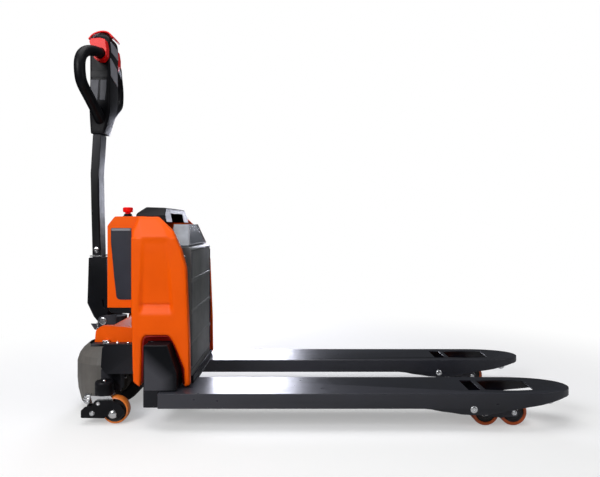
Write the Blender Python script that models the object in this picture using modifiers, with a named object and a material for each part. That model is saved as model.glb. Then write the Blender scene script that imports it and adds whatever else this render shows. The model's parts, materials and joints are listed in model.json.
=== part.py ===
"""Electric pallet truck: an assembly of separate sub-parts, in metres, +Z up.

+X points from the operator towards the fork tips, +Y is the operator's left.
The origin is on the floor, under the middle of the truck's bounding box.
The forks stand 25 mm above their lowest position.

Bodies: the drive base stands on the floor; the chassis with its forks rises from it;
the steering head turns in it and carries the drive wheel and the tiller.
"""
import math

import bmesh
import bpy
from mathutils import Matrix, Vector

# ---------------------------------------------------------------- driving dimensions
HALF_WIDTH = 0.280              # over the forks
GAP = 0.0004                    # clearance between pieces that touch
WALL = 0.004                    # moulded covers

# forks
FORK_TOP = 0.110
FORK_TIP_X = 0.7715
FORK_HEEL_X = -0.439
FORK_WIDTH = 0.172
FORK_SKIN = 0.004
FORK_NOSE = 0.174               # length of the rounded nose in plan
FORK_Y = HALF_WIDTH - FORK_WIDTH / 2
FORK_INNER_Y = HALF_WIDTH - FORK_WIDTH

# load rollers and their linkage
ARM_PIVOT = (0.465, 0.065)      # x, z
ROLLER_R = 0.040
ROLLER_HALF_W = 0.035
ROLLER_SPACING = 0.082
BOGIE_X = 0.557
BOGIE_PLATE = 0.005
ARM_PLATE = 0.006
LEVER = 0.022                   # arm pivot to push rod
LEVER_LEAN = 0.26               # radians towards the heel at rest
PUSH_ROD_GAP = 0.011            # lever pin to the rod's end, left open
PUSH_ROD_HALF_H = 0.005

# drive unit
STEER_X = -0.648
DRIVE_R = 0.105
DRIVE_HALF_W = 0.035
DRIVE_COVER_R = 0.1235
FRAME_TOP = 0.234
FRAME_SKIN = 0.0075

# casters
CASTER_X = -0.619
CASTER_Y = 0.200
CASTER_TRAIL = 0.036
CASTER_R = 0.040
CASTER_HALF_W = 0.015

# superstructure
PANEL_Y = 0.2275                # outer face of the side panels
PANEL_INNER_Y = 0.2035
PANEL_TOP = 0.617
REAR_X = -0.610
REAR_HALF_W = 0.200
REAR_BOTTOM = 0.344
COVER_TOP = 0.618
HEEL_OUT_Y = 0.262
HEEL_IN_Y = 0.190

# battery
BATTERY_FRONT_X = -0.361
BATTERY_BACK_X = -0.4395
BATTERY_HALF_W = 0.171
BATTERY_BOTTOM = 0.1245
BATTERY_TOP = 0.525
BATTERY_COVER_TOP = 0.5946

# tiller
TILLER_PIVOT = (-0.683, 0.274)  # x, z
BRACKET_HALF_W = 0.0290
TUBE_HALF_W = 0.028
TUBE_DEPTH = 0.028
HEAD_HALF_W = 0.045
HEAD_BACK_X = -0.7236
HEAD_FRONT_X = -0.658
BAR = (-0.680, 1.149)           # x, z of the grip bar, which carries the throttle
GRIP_R = 0.0165

SIDES = {"right": -1, "left": 1}


# ---------------------------------------------------------------- scene set-up
def clear_scene():
    for old in list(bpy.data.objects):
        bpy.data.objects.remove(old, do_unlink=True)


def collection(name):
    made = bpy.data.collections.new(name)
    bpy.context.scene.collection.children.link(made)
    return made


clear_scene()
PARTS = collection("electric_pallet_truck")
CUTTERS = collection("cutters")


def material(name, colour, roughness, metallic=0.0):
    made = bpy.data.materials.new(name)
    made.use_nodes = True
    shader = made.node_tree.nodes["Principled BSDF"]
    shader.inputs["Base Color"].default_value = (*colour, 1.0)
    shader.inputs["Roughness"].default_value = roughness
    shader.inputs["Metallic"].default_value = metallic
    return made


ORANGE = material("orange_paint", (0.95, 0.13, 0.005), 0.35)
BLACK_STEEL = material("black_steel", (0.012, 0.013, 0.016), 0.40, 0.2)
BLACK_PLASTIC = material("black_plastic", (0.010, 0.010, 0.012), 0.45)
CHARCOAL = material("charcoal_plastic", (0.045, 0.048, 0.058), 0.50)
GREY_CAST = material("grey_cover", (0.10, 0.11, 0.10), 0.55)
CAST_IRON = material("cast_iron", (0.12, 0.105, 0.095), 0.65, 0.4)
ZINC = material("zinc_plate", (0.72, 0.73, 0.75), 0.28, 1.0)
BRIGHT_STEEL = material("bright_steel", (0.62, 0.62, 0.63), 0.30, 1.0)
RED = material("red_plastic", (0.80, 0.015, 0.010), 0.35)
POLYURETHANE = material("polyurethane", (0.62, 0.16, 0.02), 0.40)
RUBBER = material("drive_tyre", (0.03, 0.03, 0.03), 0.70)
CLEAR = material("clear_cover", (0.55, 0.60, 0.66), 0.12)
MOTOR_BLACK = material("motor_black", (0.02, 0.02, 0.022), 0.50, 0.3)


# ---------------------------------------------------------------- modelling helpers
def add(name, mesh, finish=None):
    """Link a mesh as a sub-part, or as a cutter when it has no finish."""
    made = bpy.data.objects.new(name, mesh)
    if finish is None:
        CUTTERS.objects.link(made)
        made.hide_render = True
        made.display_type = "WIRE"
    else:
        PARTS.objects.link(made)
        mesh.materials.clear()
        mesh.materials.append(finish)
    return made


def box(name, low, high, finish=None, bevel=0.0):
    """A box between two corners, with rounded edges when bevel is given."""
    low, high = Vector(low), Vector(high)
    shape = bmesh.new()
    size = Matrix.Diagonal((*(high - low), 1.0))
    bmesh.ops.create_cube(shape, size=1.0, matrix=Matrix.Translation((low + high) / 2) @ size)
    mesh = bpy.data.meshes.new(name)
    shape.to_mesh(mesh)
    shape.free()
    made = add(name, mesh, finish)
    if bevel:
        soften(made, bevel)
    return made


def soften(piece, width, segments=2, angle=30):
    rounding = piece.modifiers.new("rounding", "BEVEL")
    rounding.width = width
    rounding.segments = segments
    rounding.limit_method = "ANGLE"
    rounding.angle_limit = math.radians(angle)


AXIS_TURN = {
    "X": Matrix.Rotation(math.pi / 2, 4, "Y"),
    "Y": Matrix.Rotation(-math.pi / 2, 4, "X"),
    "Z": Matrix.Identity(4),
}


def cylinder(name, centre, axis, radius, length, finish=None, segments=24, radius_end=None):
    """A cylinder or cone frustum about an axis, its middle at centre."""
    shape = bmesh.new()
    end = radius if radius_end is None else radius_end
    bmesh.ops.create_cone(
        shape, cap_ends=True, segments=segments, radius1=radius, radius2=end, depth=length,
        matrix=Matrix.Translation(centre) @ AXIS_TURN[axis])
    mesh = bpy.data.meshes.new(name)
    shape.to_mesh(mesh)
    shape.free()
    made = add(name, mesh, finish)
    smooth(made)
    return made


def smooth(piece):
    piece.data.shade_smooth()
    piece.data.set_sharp_from_angle(angle=math.radians(35))


def corner_arc(before, corner, after, radius, steps):
    """Points of the arc that rounds one corner of an outline."""
    corner = Vector(corner)
    back = (Vector(before) - corner)
    ahead = (Vector(after) - corner)
    half = back.angle(ahead) / 2
    reach = min(radius / math.tan(half), back.length * 0.49, ahead.length * 0.49)
    radius = reach * math.tan(half)
    middle = corner + (back.normalized() + ahead.normalized()).normalized() * radius / math.sin(half)
    start = corner + back.normalized() * reach - middle
    end = corner + ahead.normalized() * reach - middle
    sweep = start.angle_signed(end)
    turned = []
    for step in range(steps + 1):
        turn = Matrix.Rotation(-sweep * step / steps, 2)
        turned.append(tuple(middle + turn @ start))
    return turned


def rounded(points, radius, steps=3):
    """An outline with its corners rounded; a point's third value is its own radius."""
    outline = []
    for index, point in enumerate(points):
        own = point[2] if len(point) > 2 else radius
        before = points[index - 1][:2]
        after = points[(index + 1) % len(points)][:2]
        if own <= 0.0:
            outline.append(tuple(point[:2]))
        else:
            outline += corner_arc(before, point[:2], after, own, steps)
    return outline


PLANE_TURN = {
    # an outline's (u, v) goes to: XZ -> (x, z), XY -> (x, y), YZ -> (y, z)
    "XZ": Matrix(((1, 0, 0, 0), (0, 0, 1, 0), (0, 1, 0, 0), (0, 0, 0, 1))),
    "XY": Matrix.Identity(4),
    "YZ": Matrix(((0, 0, 1, 0), (1, 0, 0, 0), (0, 1, 0, 0), (0, 0, 0, 1))),
}


def plate(name, outline, low, high, plane="XZ", finish=None):
    """A flat outline given thickness from low to high across its plane."""
    curve = bpy.data.curves.new(name, "CURVE")
    curve.dimensions = "2D"
    curve.fill_mode = "BOTH"
    curve.extrude = (high - low) / 2
    spline = curve.splines.new("POLY")
    spline.points.add(len(outline) - 1)
    for point, (u, v) in zip(spline.points, outline):
        point.co = (u, v, 0.0, 1.0)
    spline.use_cyclic_u = True
    return curve_to_mesh(name, curve, finish, PLANE_TURN[plane], (low + high) / 2)


def curve_to_mesh(name, curve, finish, turn=None, offset=0.0):
    """Turn a curve into a closed mesh, facing out, in world coordinates."""
    guide = bpy.data.objects.new(name + "_curve", curve)
    PARTS.objects.link(guide)
    evaluated = guide.evaluated_get(bpy.context.evaluated_depsgraph_get())
    mesh = bpy.data.meshes.new_from_object(evaluated)
    mesh.name = name
    bpy.data.objects.remove(guide, do_unlink=True)
    shape = bmesh.new()
    shape.from_mesh(mesh)
    bmesh.ops.remove_doubles(shape, verts=shape.verts, dist=1e-6)
    bmesh.ops.translate(shape, verts=shape.verts, vec=(0.0, 0.0, offset))
    if turn is not None:
        bmesh.ops.transform(shape, matrix=turn, verts=shape.verts)
    bmesh.ops.recalc_face_normals(shape, faces=shape.faces)
    shape.to_mesh(mesh)
    shape.free()
    return add(name, mesh, finish)


def tube(name, points, radius, finish=None, resolution=3):
    """A round bar along a path, its ends closed."""
    curve = bpy.data.curves.new(name, "CURVE")
    curve.dimensions = "3D"
    curve.bevel_depth = radius
    curve.bevel_resolution = resolution
    curve.use_fill_caps = True
    spline = curve.splines.new("POLY")
    spline.points.add(len(points) - 1)
    for point, place in zip(spline.points, points):
        point.co = (*place, 1.0)
    made = curve_to_mesh(name, curve, finish)
    smooth(made)
    return made


def smooth_path(points, steps=4):
    """A Catmull-Rom curve through a few chosen points."""
    ends = [Vector(points[0]) * 2 - Vector(points[1])]
    ends += [Vector(point) for point in points]
    ends.append(Vector(points[-1]) * 2 - Vector(points[-2]))
    path = []
    for index in range(1, len(ends) - 2):
        a, b, c, d = ends[index - 1:index + 3]
        for step in range(steps):
            t = step / steps
            cubic = (3 * b - a - 3 * c + d) * t ** 3
            square = (2 * a - 5 * b + 4 * c - d) * t ** 2
            path.append((2 * b + (c - a) * t + square + cubic) / 2)
    path.append(ends[-2])
    return path


def turned(name, profile, centre, axis, finish=None, steps=28, closed=True):
    """A turned piece: a profile of (radius, height), top to bottom, about an axis."""
    mesh = bpy.data.meshes.new(name)
    edges = [(index, index + 1) for index in range(len(profile) - 1)]
    if closed:
        edges.append((len(profile) - 1, 0))
    mesh.from_pydata([(radius, 0.0, height) for radius, height in profile], edges, [])
    made = add(name, mesh, finish)
    made.matrix_world = Matrix.Translation(centre) @ AXIS_TURN[axis]
    screw = made.modifiers.new("turning", "SCREW")
    screw.steps = steps
    screw.render_steps = steps
    screw.use_merge_vertices = True
    screw.merge_threshold = 0.0001
    return made


def cut(piece, *cutters):
    for cutter in cutters:
        boolean(piece, cutter, "DIFFERENCE")


def join(piece, *others):
    for other in others:
        boolean(piece, other, "UNION")


def boolean(piece, other, operation):
    step = piece.modifiers.new(operation.lower(), "BOOLEAN")
    step.operation = operation
    step.solver = "EXACT"
    step.object = other


def origin_at(piece, place):
    """Put a piece's origin on its joint axis without moving the piece."""
    shift = Vector(place) - piece.location
    local = piece.matrix_basis.to_3x3().inverted() @ shift
    piece.data.transform(Matrix.Translation(-local))
    piece.location = place


def on_axis(name, place, pieces):
    """Parent pieces to an empty on their joint axis."""
    axis = bpy.data.objects.new(name, None)
    axis.location = place
    axis.empty_display_size = 0.03
    PARTS.objects.link(axis)
    for piece in pieces:
        piece.parent = axis
        piece.location -= Vector(place)


def span(side, inner, outer):
    """The two Y values between which a side's piece lies, low first."""
    return sorted((side * inner, side * outer))


# ---------------------------------------------------------------- forks
def fork_outline(inset):
    """Plan of one fork about its centre line, with a half-elliptic nose."""
    half = FORK_WIDTH / 2 - inset
    nose = FORK_NOSE - inset
    start = FORK_TIP_X - FORK_NOSE
    outline = [(FORK_HEEL_X - inset * 4, half), (FORK_HEEL_X - inset * 4, -half)]
    steps = 18
    for step in range(steps + 1):
        angle = -math.pi / 2 + math.pi * step / steps
        bulge = math.copysign(abs(math.sin(angle)) ** 0.92, math.sin(angle))
        outline.append((start + nose * math.cos(angle) ** 0.92, half * bulge))
    return outline


# Lower edge of the fork skirt from the heel to the tip: level, dipping at the rollers,
# then rising to the nose.
SKIRT_EDGE = [
    (0.322, 0.0670), (0.345, 0.0648), (0.372, 0.0592), (0.402, 0.0555), (0.430, 0.0508),
    (0.463, 0.0488), (0.505, 0.0495), (0.540, 0.0560), (0.577, 0.0635), (0.620, 0.0705),
    (0.660, 0.0755), (0.700, 0.0825), (0.735, 0.0885), (0.7765, 0.0905),
]


def skirt_cutter(name, y_low, y_high):
    below = [(FORK_HEEL_X - 0.05, 0.0670)] + SKIRT_EDGE
    below += [(FORK_TIP_X + 0.03, 0.0905), (FORK_TIP_X + 0.03, 0.0), (FORK_HEEL_X - 0.05, 0.0)]
    return plate(name, below, y_low, y_high)


def entry_opening(y):
    """Roller opening in the fork top: square ends, long sides bowed outwards."""
    x_low, x_high = 0.512, 0.654
    end_half, middle_half = 0.045, 0.053
    outline = []
    steps = 6
    for sign in (1, -1):
        for step in range(steps + 1):
            t = step / steps
            x = x_low + (x_high - x_low) * (t if sign > 0 else 1 - t)
            bow = end_half + (middle_half - end_half) * math.sin(math.pi * t)
            outline.append((x, y + sign * bow))
    return outline


def fork(side_name, side):
    y = side * FORK_Y
    outer = [(x, y + v) for x, v in fork_outline(0.0)]
    inner = [(x, y + v) for x, v in fork_outline(FORK_SKIN)]
    made = plate("fork_" + side_name, outer, 0.030, FORK_TOP, "XY", BLACK_STEEL)
    hollow = plate("fork_hollow_" + side_name, inner, 0.0, FORK_TOP - FORK_SKIN, "XY")
    skirt = skirt_cutter("fork_skirt_" + side_name, y - 0.12, y + 0.12)
    opening = plate("fork_opening_" + side_name, entry_opening(y), 0.09, 0.13, "XY")
    slot = box("fork_slot_" + side_name, (0.461, y - 0.050, 0.09), (0.497, y + 0.050, 0.13))
    cut(made, hollow, skirt, opening, slot)
    return made


def entry_roller(side_name, side):
    """Small roller under the nose that climbs pallet boards; its stub axle turns with it."""
    x, y, z = 0.7056, side * FORK_Y, 0.0785
    profile = [(0.004, 0.052), (0.004, 0.036), (0.0125, 0.036), (0.0145, 0.033),
               (0.0145, -0.033), (0.0125, -0.036), (0.004, -0.036), (0.004, -0.052)]
    profile = [(0.0, 0.052)] + profile + [(0.0, -0.052)]
    made = turned("entry_roller_" + side_name, profile, (x, y, z), "Y", ZINC, 16, closed=False)
    on_axis("entry_roller_axis_" + side_name, (x, y, z), [made])


# ---------------------------------------------------------------- load roller linkage
def link_outline(x_from, z_from, r_from, x_to, z_to, r_to, steps=8):
    """Side outline of a link: two round ends joined by their common tangents."""
    lean = math.atan2(z_to - z_from, x_to - x_from)
    wrap = math.acos((r_from - r_to) / math.hypot(x_to - x_from, z_to - z_from))
    outline = []
    for step in range(steps + 1):
        angle = lean - wrap + 2 * wrap * step / steps
        outline.append((x_to + r_to * math.cos(angle), z_to + r_to * math.sin(angle)))
    for step in range(steps + 1):
        angle = lean + wrap + (2 * math.pi - 2 * wrap) * step / steps
        outline.append((x_from + r_from * math.cos(angle), z_from + r_from * math.sin(angle)))
    return outline


def roller_arm(side_name, side):
    """Swing arm: two plates, the pivot tube between them and the lever the push rod drives."""
    y = side * FORK_Y
    px, pz = ARM_PIVOT
    inner = ROLLER_HALF_W + 0.0008 + BOGIE_PLATE + GAP
    outer = inner + ARM_PLATE
    outline = link_outline(px, pz, 0.0135, BOGIE_X, ROLLER_R, 0.0125)
    made = plate("roller_arm_" + side_name, outline, y - outer, y - inner, "XZ", BLACK_STEEL)
    far = plate("arm_far_plate_" + side_name, outline, y + inner, y + outer)
    pivot_tube = cylinder("arm_tube_" + side_name, (px, y, pz), "Y", 0.0115, 2 * FORK_WIDTH * 0.44,
                          segments=20)
    tip = (px - LEVER * math.sin(LEVER_LEAN), pz + LEVER * math.cos(LEVER_LEAN))
    lever_outline = link_outline(px, pz, 0.008, tip[0], tip[1], 0.005, steps=6)
    lever = plate("arm_lever_" + side_name, lever_outline, y - 0.010, y + 0.010)
    join(made, far, pivot_tube, lever)
    for sign in (-1, 1):
        stub = cylinder(f"arm_stub_{side_name}_{sign + 1}",
                        (BOGIE_X, y + sign * (inner + outer - BOGIE_PLATE - 0.002) / 2, ROLLER_R),
                        "Y", 0.006, outer - inner + BOGIE_PLATE - 0.002, segments=16)
        join(made, stub)
    on_axis("arm_axis_" + side_name, (px, y, pz), [made])


def bogie(side_name, side):
    """Level link that carries the two load rollers on its axles."""
    y = side * FORK_Y
    inner = ROLLER_HALF_W + 0.0008
    outer = inner + BOGIE_PLATE
    half = ROLLER_SPACING / 2
    outline = link_outline(BOGIE_X - half, ROLLER_R, 0.0125, BOGIE_X + half, ROLLER_R, 0.0125)
    made = plate("bogie_" + side_name, outline, y - outer, y - inner, "XZ", BLACK_STEEL)
    far = plate("bogie_far_plate_" + side_name, outline, y + inner, y + outer)
    join(made, far)
    for sign in (-1, 1):
        axle = cylinder(f"bogie_axle_{side_name}_{sign + 1}", (BOGIE_X + sign * half, y, ROLLER_R),
                        "Y", 0.008, 2 * outer - 0.002, segments=16)
        join(made, axle)
    hole = cylinder("bogie_hole_" + side_name, (BOGIE_X, y, ROLLER_R), "Y", 0.0064,
                    2 * outer + 0.01, segments=16)
    cut(made, hole)
    on_axis("bogie_axis_" + side_name, (BOGIE_X, y, ROLLER_R), [made])


def wheel_profile(radius, half_width, bore, shoulder):
    """Closed section of a wheel with a bore, its tread edges rounded off."""
    return [(bore, half_width), (radius * 0.62, half_width), (radius - shoulder, half_width),
            (radius, half_width - shoulder), (radius, -half_width + shoulder),
            (radius - shoulder, -half_width), (radius * 0.62, -half_width), (bore, -half_width)]


def load_roller(name, side, x):
    y = side * FORK_Y
    profile = wheel_profile(ROLLER_R, ROLLER_HALF_W, 0.0084, 0.004)
    made = turned(name, profile, (x, y, ROLLER_R), "Y", POLYURETHANE, 24)
    on_axis(name + "_axis", (x, y, ROLLER_R), [made])


def push_rod(side_name, side):
    """Bar inside the fork that pushes the arm's lever; their pin is left open."""
    y = side * FORK_Y
    px, pz = ARM_PIVOT
    tip_x = px - LEVER * math.sin(LEVER_LEAN)
    tip_z = pz + LEVER * math.cos(LEVER_LEAN)
    end_x = tip_x - PUSH_ROD_GAP
    made = box("push_rod_" + side_name, (-0.405, y - 0.009, tip_z - PUSH_ROD_HALF_H),
               (end_x, y + 0.009, tip_z + PUSH_ROD_HALF_H), BRIGHT_STEEL)
    origin_at(made, (end_x, y, tip_z))


# ---------------------------------------------------------------- chassis frame
def heel(side_name, side):
    """Steel upright between the fork and the cover arch."""
    outline = rounded([(-0.4850, 0.064), (-0.4850, 0.2445), (-0.4165, 0.2445), (-0.3888, 0.162, 0.004),
                       (-0.3888, FORK_TOP + GAP, 0.0), (FORK_HEEL_X - GAP, FORK_TOP + GAP, 0.0),
                       (FORK_HEEL_X - GAP, 0.064, 0.0)], 0.008)
    low, high = span(side, HEEL_IN_Y, HEEL_OUT_Y)
    made = plate("heel_" + side_name, outline, low, high, "XZ", BLACK_STEEL)
    soften(made, 0.002, 2)
    return made


def bulkhead():
    """Cross beam between the heels, the plate between the forks and the wall behind the battery."""
    half = HEEL_IN_Y - GAP
    made = box("bulkhead", (-0.4845, -half, 0.066), (FORK_HEEL_X - GAP, half, 0.1095), BLACK_STEEL)
    front = plate("bulkhead_front", [(-0.450, 0.094), (-0.372, 0.094), (-0.3525, 0.1085),
                                     (-0.3525, FORK_TOP), (-0.450, FORK_TOP)],
                  -FORK_INNER_Y + GAP, FORK_INNER_Y - GAP)
    wall = box("bulkhead_wall", (-0.4475, -half, 0.100), (-0.4425, half, 0.500))
    join(made, front, wall)
    return made


def battery_tray():
    """Shallow tray on the fork roots that locates the battery."""
    low = (BATTERY_BACK_X - 0.0015, -BATTERY_HALF_W - 0.005, FORK_TOP + GAP)
    high = (BATTERY_FRONT_X + 0.0045, BATTERY_HALF_W + 0.005, 0.133)
    made = box("battery_tray", low, high, BLACK_PLASTIC)
    pocket = box("battery_tray_pocket",
                 (BATTERY_BACK_X - 0.02, -BATTERY_HALF_W - 0.0008, BATTERY_BOTTOM - GAP),
                 (BATTERY_FRONT_X + 0.0008, BATTERY_HALF_W + 0.0008, 0.2))
    cut(made, pocket)
    return made


# ---------------------------------------------------------------- covers
PANEL_OUTLINE = [
    (-0.5150, PANEL_TOP, 0.006), (-0.4540, PANEL_TOP, 0.012), (-0.4090, 0.574, 0.03),
    (-0.3840, 0.518, 0.03), (-0.3690, 0.464, 0.04), (-0.3600, 0.246, 0.0), (-0.3585, 0.118, 0.005),
    (-0.3740, 0.112, 0.004), (-0.3745, 0.164, 0.010), (-0.4030, 0.236, 0.014),
    (-0.4200, 0.2645, 0.016), (-0.4930, 0.2645, 0.014), (-0.4995, 0.246, 0.012),
    (-0.5026, 0.120, 0.004), (-0.5085, 0.112, 0.004), (-0.5262, 0.129, 0.006),
    (-0.5320, 0.335, 0.0), (-0.5322, 0.573, 0.008),
]


def inset_outline(outline, inset):
    """An outline moved inwards by inset; it must run clockwise."""
    moved = []
    for index, point in enumerate(outline):
        here = Vector(point)
        back = (here - Vector(outline[index - 1])).normalized()
        ahead = (Vector(outline[(index + 1) % len(outline)]) - here).normalized()
        back_in = Vector((back.y, -back.x))
        ahead_in = Vector((ahead.y, -ahead.x))
        middle = (back_in + ahead_in).normalized()
        moved.append(tuple(here + middle * inset / max(middle.dot(back_in), 0.4)))
    return moved


def panel_slope(name, side, drop):
    """Wedge above the sloping facet at the top of a side panel."""
    low_z, high_z = 0.557 - drop, PANEL_TOP - drop
    top_y = PANEL_INNER_Y + 0.0030
    rise = (high_z - low_z) / (PANEL_Y - top_y)
    outline = [(side * (PANEL_Y + 0.02), low_z - 0.02 * rise), (side * (PANEL_Y + 0.02), 0.70),
               (side * (top_y - 0.02), 0.70), (side * (top_y - 0.02), high_z + 0.02 * rise)]
    return plate(name, outline, -0.60, -0.30, "YZ")


def side_panel(side_name, side):
    """Moulded cover on the side of the superstructure, arched over the fork heel."""
    outline = rounded(PANEL_OUTLINE, 0.0, 3)
    low, high = span(side, PANEL_INNER_Y, PANEL_Y)
    made = plate("side_panel_" + side_name, outline, low, high, "XZ", ORANGE)
    low, high = span(side, PANEL_INNER_Y - 0.01, PANEL_Y - WALL)
    corners = [point[:2] for point in PANEL_OUTLINE]
    hollow = plate("panel_hollow_" + side_name, inset_outline(corners, WALL), low, high)
    cut(hollow, panel_slope("panel_hollow_slope_" + side_name, side, WALL * 1.3))
    cut(made, panel_slope("panel_slope_" + side_name, side, 0.0), hollow)
    return made


def rear_outline(inset, top):
    """Side outline of the operator-side cover: sloping upper corner, flat back."""
    return [(REAR_X + inset, REAR_BOTTOM - 0.05 * (inset > 0), 0.0), (REAR_X + inset, 0.590 - inset, 0.010),
            (REAR_X + 0.022 + inset, top, 0.010), (-0.500, top, 0.0),
            (-0.500 + inset * 3, REAR_BOTTOM - 0.05 * (inset > 0), 0.0)]


def rear_cover():
    """Operator-side cover: a shell open to the front and below."""
    outer = rounded(rear_outline(0.0, COVER_TOP), 0.0, 3)
    made = plate("rear_cover", outer, -REAR_HALF_W, REAR_HALF_W, "XZ", ORANGE)
    soften(made, 0.010, 3, 60)
    inner = [(REAR_X + WALL, 0.30), (REAR_X + WALL, 0.586), (REAR_X + 0.026, COVER_TOP - WALL),
             (-0.48, COVER_TOP - WALL), (-0.48, 0.30)]
    hollow = plate("rear_hollow", inner, -REAR_HALF_W + WALL, REAR_HALF_W - WALL)
    hood_way = box("rear_hood_way", (-0.5365, -0.168, 0.58), (-0.45, 0.168, 0.66))
    cut(made, hollow, hood_way)
    return made


def rear_skirt():
    """Black lower lip of the operator-side cover."""
    outline = rounded([(REAR_X + 0.001, REAR_BOTTOM - GAP, 0.0), (REAR_X + 0.004, 0.334, 0.004),
                       (REAR_X + 0.014, 0.326, 0.004), (-0.505, 0.326, 0.0),
                       (-0.505, REAR_BOTTOM - GAP, 0.0)], 0.0)
    made = plate("rear_skirt", outline, -0.196, 0.196, "XZ", BLACK_PLASTIC)
    hollow = box("rear_skirt_hollow", (REAR_X + 0.018, -0.190, 0.30), (-0.49, 0.190, 0.36))
    cut(made, hollow)
    return made


def top_hood():
    """Black hood over the battery connector, with a hand opening towards the forks."""
    outline = rounded([(-0.5345, 0.600, 0.0), (-0.5345, 0.628, 0.006), (-0.512, 0.648, 0.010),
                       (-0.4505, 0.646, 0.006), (-0.4410, 0.602, 0.004), (-0.4410, 0.600, 0.0)], 0.0)
    made = plate("top_hood", outline, -0.166, 0.166, "XZ", BLACK_PLASTIC)
    for side in SIDES.values():
        wedge = plate(f"hood_chamfer_{side + 1}",
                      [(side * 0.133, 0.66), (side * 0.133, 0.648), (side * 0.166, 0.622),
                       (side * 0.18, 0.61), (side * 0.18, 0.66)], -0.56, -0.42, "YZ")
        cut(made, wedge)
    inner = [(-0.531, 0.590), (-0.531, 0.627), (-0.511, 0.6445), (-0.4535, 0.6425), (-0.4535, 0.590)]
    hollow = plate("hood_hollow", inner, -0.130, 0.130)
    hand = box("hood_hand_opening", (-0.470, -0.085, 0.590), (-0.430, 0.085, 0.628))
    cut(made, hollow, hand)
    return made


# ---------------------------------------------------------------- inside the superstructure
def hydraulic_unit():
    """Pump motor over its oil tank."""
    made = box("hydraulic_unit", (-0.592, 0.055, 0.360), (-0.512, 0.165, 0.440), MOTOR_BLACK, 0.004)
    motor = cylinder("pump_motor", (-0.552, 0.110, 0.492), "Z", 0.036, 0.110, segments=24)
    join(made, motor)
    return made


def controller():
    """Motor controller on a finned plate."""
    made = box("motor_controller", (-0.590, -0.170, 0.380), (-0.540, -0.060, 0.540), CHARCOAL, 0.003)
    return made


def lift_cylinder():
    """Barrel that hangs from the bulkhead, open below for its rod."""
    x = -0.508
    made = cylinder("lift_cylinder", (x, 0.0, 0.385), "Z", 0.0180, 0.230, CAST_IRON, 24)
    ear = box("cylinder_mount", (x + 0.010, -0.022, 0.455), (-0.448, 0.022, 0.495))
    bore = cylinder("cylinder_bore", (x, 0.0, 0.355), "Z", 0.0112, 0.230, segments=24)
    join(made, ear)
    cut(made, bore)
    return made


def lift_rod():
    """Chromed rod that stands on the drive frame."""
    x = -0.508
    return cylinder("lift_rod", (x, 0.0, (FRAME_TOP + GAP + 0.405) / 2), "Z", 0.0105,
                    0.405 - FRAME_TOP - GAP, BRIGHT_STEEL, 20)


# ---------------------------------------------------------------- battery
def battery():
    """Battery case with three raised bands across its face and a chamfered lid edge."""
    x = BATTERY_FRONT_X - 0.0025
    outline = [(BATTERY_BACK_X, BATTERY_BOTTOM), (BATTERY_BACK_X, BATTERY_TOP), (x - 0.010, BATTERY_TOP),
               (x, BATTERY_TOP - 0.008)]
    for middle in (0.422, 0.3255, 0.229):
        outline += [(x, middle + 0.007), (x + 0.0025, middle + 0.004), (x + 0.0025, middle - 0.004),
                    (x, middle - 0.007)]
    outline.append((x, BATTERY_BOTTOM))
    case = plate("battery_case", outline, -BATTERY_HALF_W, BATTERY_HALF_W, "XZ", CHARCOAL)
    origin_at(case, (BATTERY_BACK_X, 0.0, BATTERY_BOTTOM))


def battery_cover():
    """Clear hipped cover over the battery's connector and handle."""
    base_x = (BATTERY_BACK_X + 0.0005, -0.3745)
    top_x = (BATTERY_BACK_X + 0.0005, -0.391)
    base_z = BATTERY_TOP + 0.0036
    base_y, top_y = 0.144, 0.075
    corners = []
    for x_pair, half, z in ((base_x, base_y, base_z), (top_x, top_y, BATTERY_COVER_TOP)):
        corners += [(x_pair[0], -half, z), (x_pair[1], -half, z), (x_pair[1], half, z), (x_pair[0], half, z)]
    mesh = bpy.data.meshes.new("battery_cover")
    faces = [(0, 1, 5, 4), (1, 2, 6, 5), (2, 3, 7, 6), (3, 0, 4, 7), (4, 5, 6, 7)]
    mesh.from_pydata(corners, [], faces)
    made = add("battery_cover", mesh, CLEAR)
    skin = made.modifiers.new("skin", "SOLIDIFY")
    skin.thickness = 0.0025
    skin.offset = -1.0
    skin.use_even_offset = True
    on_axis("battery_cover_axis", (-0.3745, 0.0, base_z + 0.0015), [made])


# ---------------------------------------------------------------- drive base
def drive_frame():
    """Plate over the drive unit with a box arm and a caster bracket on each side."""
    top, bottom = FRAME_TOP, FRAME_TOP - FRAME_SKIN
    made = box("drive_frame", (-0.662, -0.1965, bottom), (-0.487, 0.1965, top), BLACK_STEEL)
    hole = cylinder("frame_column_hole", (STEER_X, 0.0, top), "Z", 0.0335, 0.05, segments=28)
    mouth = box("frame_mouth", (-0.70, -0.0335, bottom - 0.02), (STEER_X, 0.0335, top + 0.02))
    for side_name, side in SIDES.items():
        low, high = span(side, 0.130, 0.200)
        arm_outline = rounded([(-0.630, 0.165, 0.004), (-0.626, 0.225, 0.008), (-0.610, 0.2335, 0.004),
                               (-0.487, 0.2335, 0.0), (-0.487, 0.145, 0.0), (-0.616, 0.145, 0.006)], 0.0)
        arm = plate("frame_arm_" + side_name, arm_outline, low, high)
        low, high = span(side, 0.135, 0.1705)
        bracket = box("caster_bracket_" + side_name, (-0.640, low, 0.088), (-0.580, high, 0.150))
        join(made, arm, bracket)
    cut(made, hole, mouth)
    return made


def caster_housing(side_name, side):
    """Cup over the caster's swivel bearing."""
    y = side * CASTER_Y
    made = cylinder("caster_housing_" + side_name, (CASTER_X, y, 0.1055), "Z", 0.0275, 0.0405,
                    BLACK_PLASTIC, 28)
    return made


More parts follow.
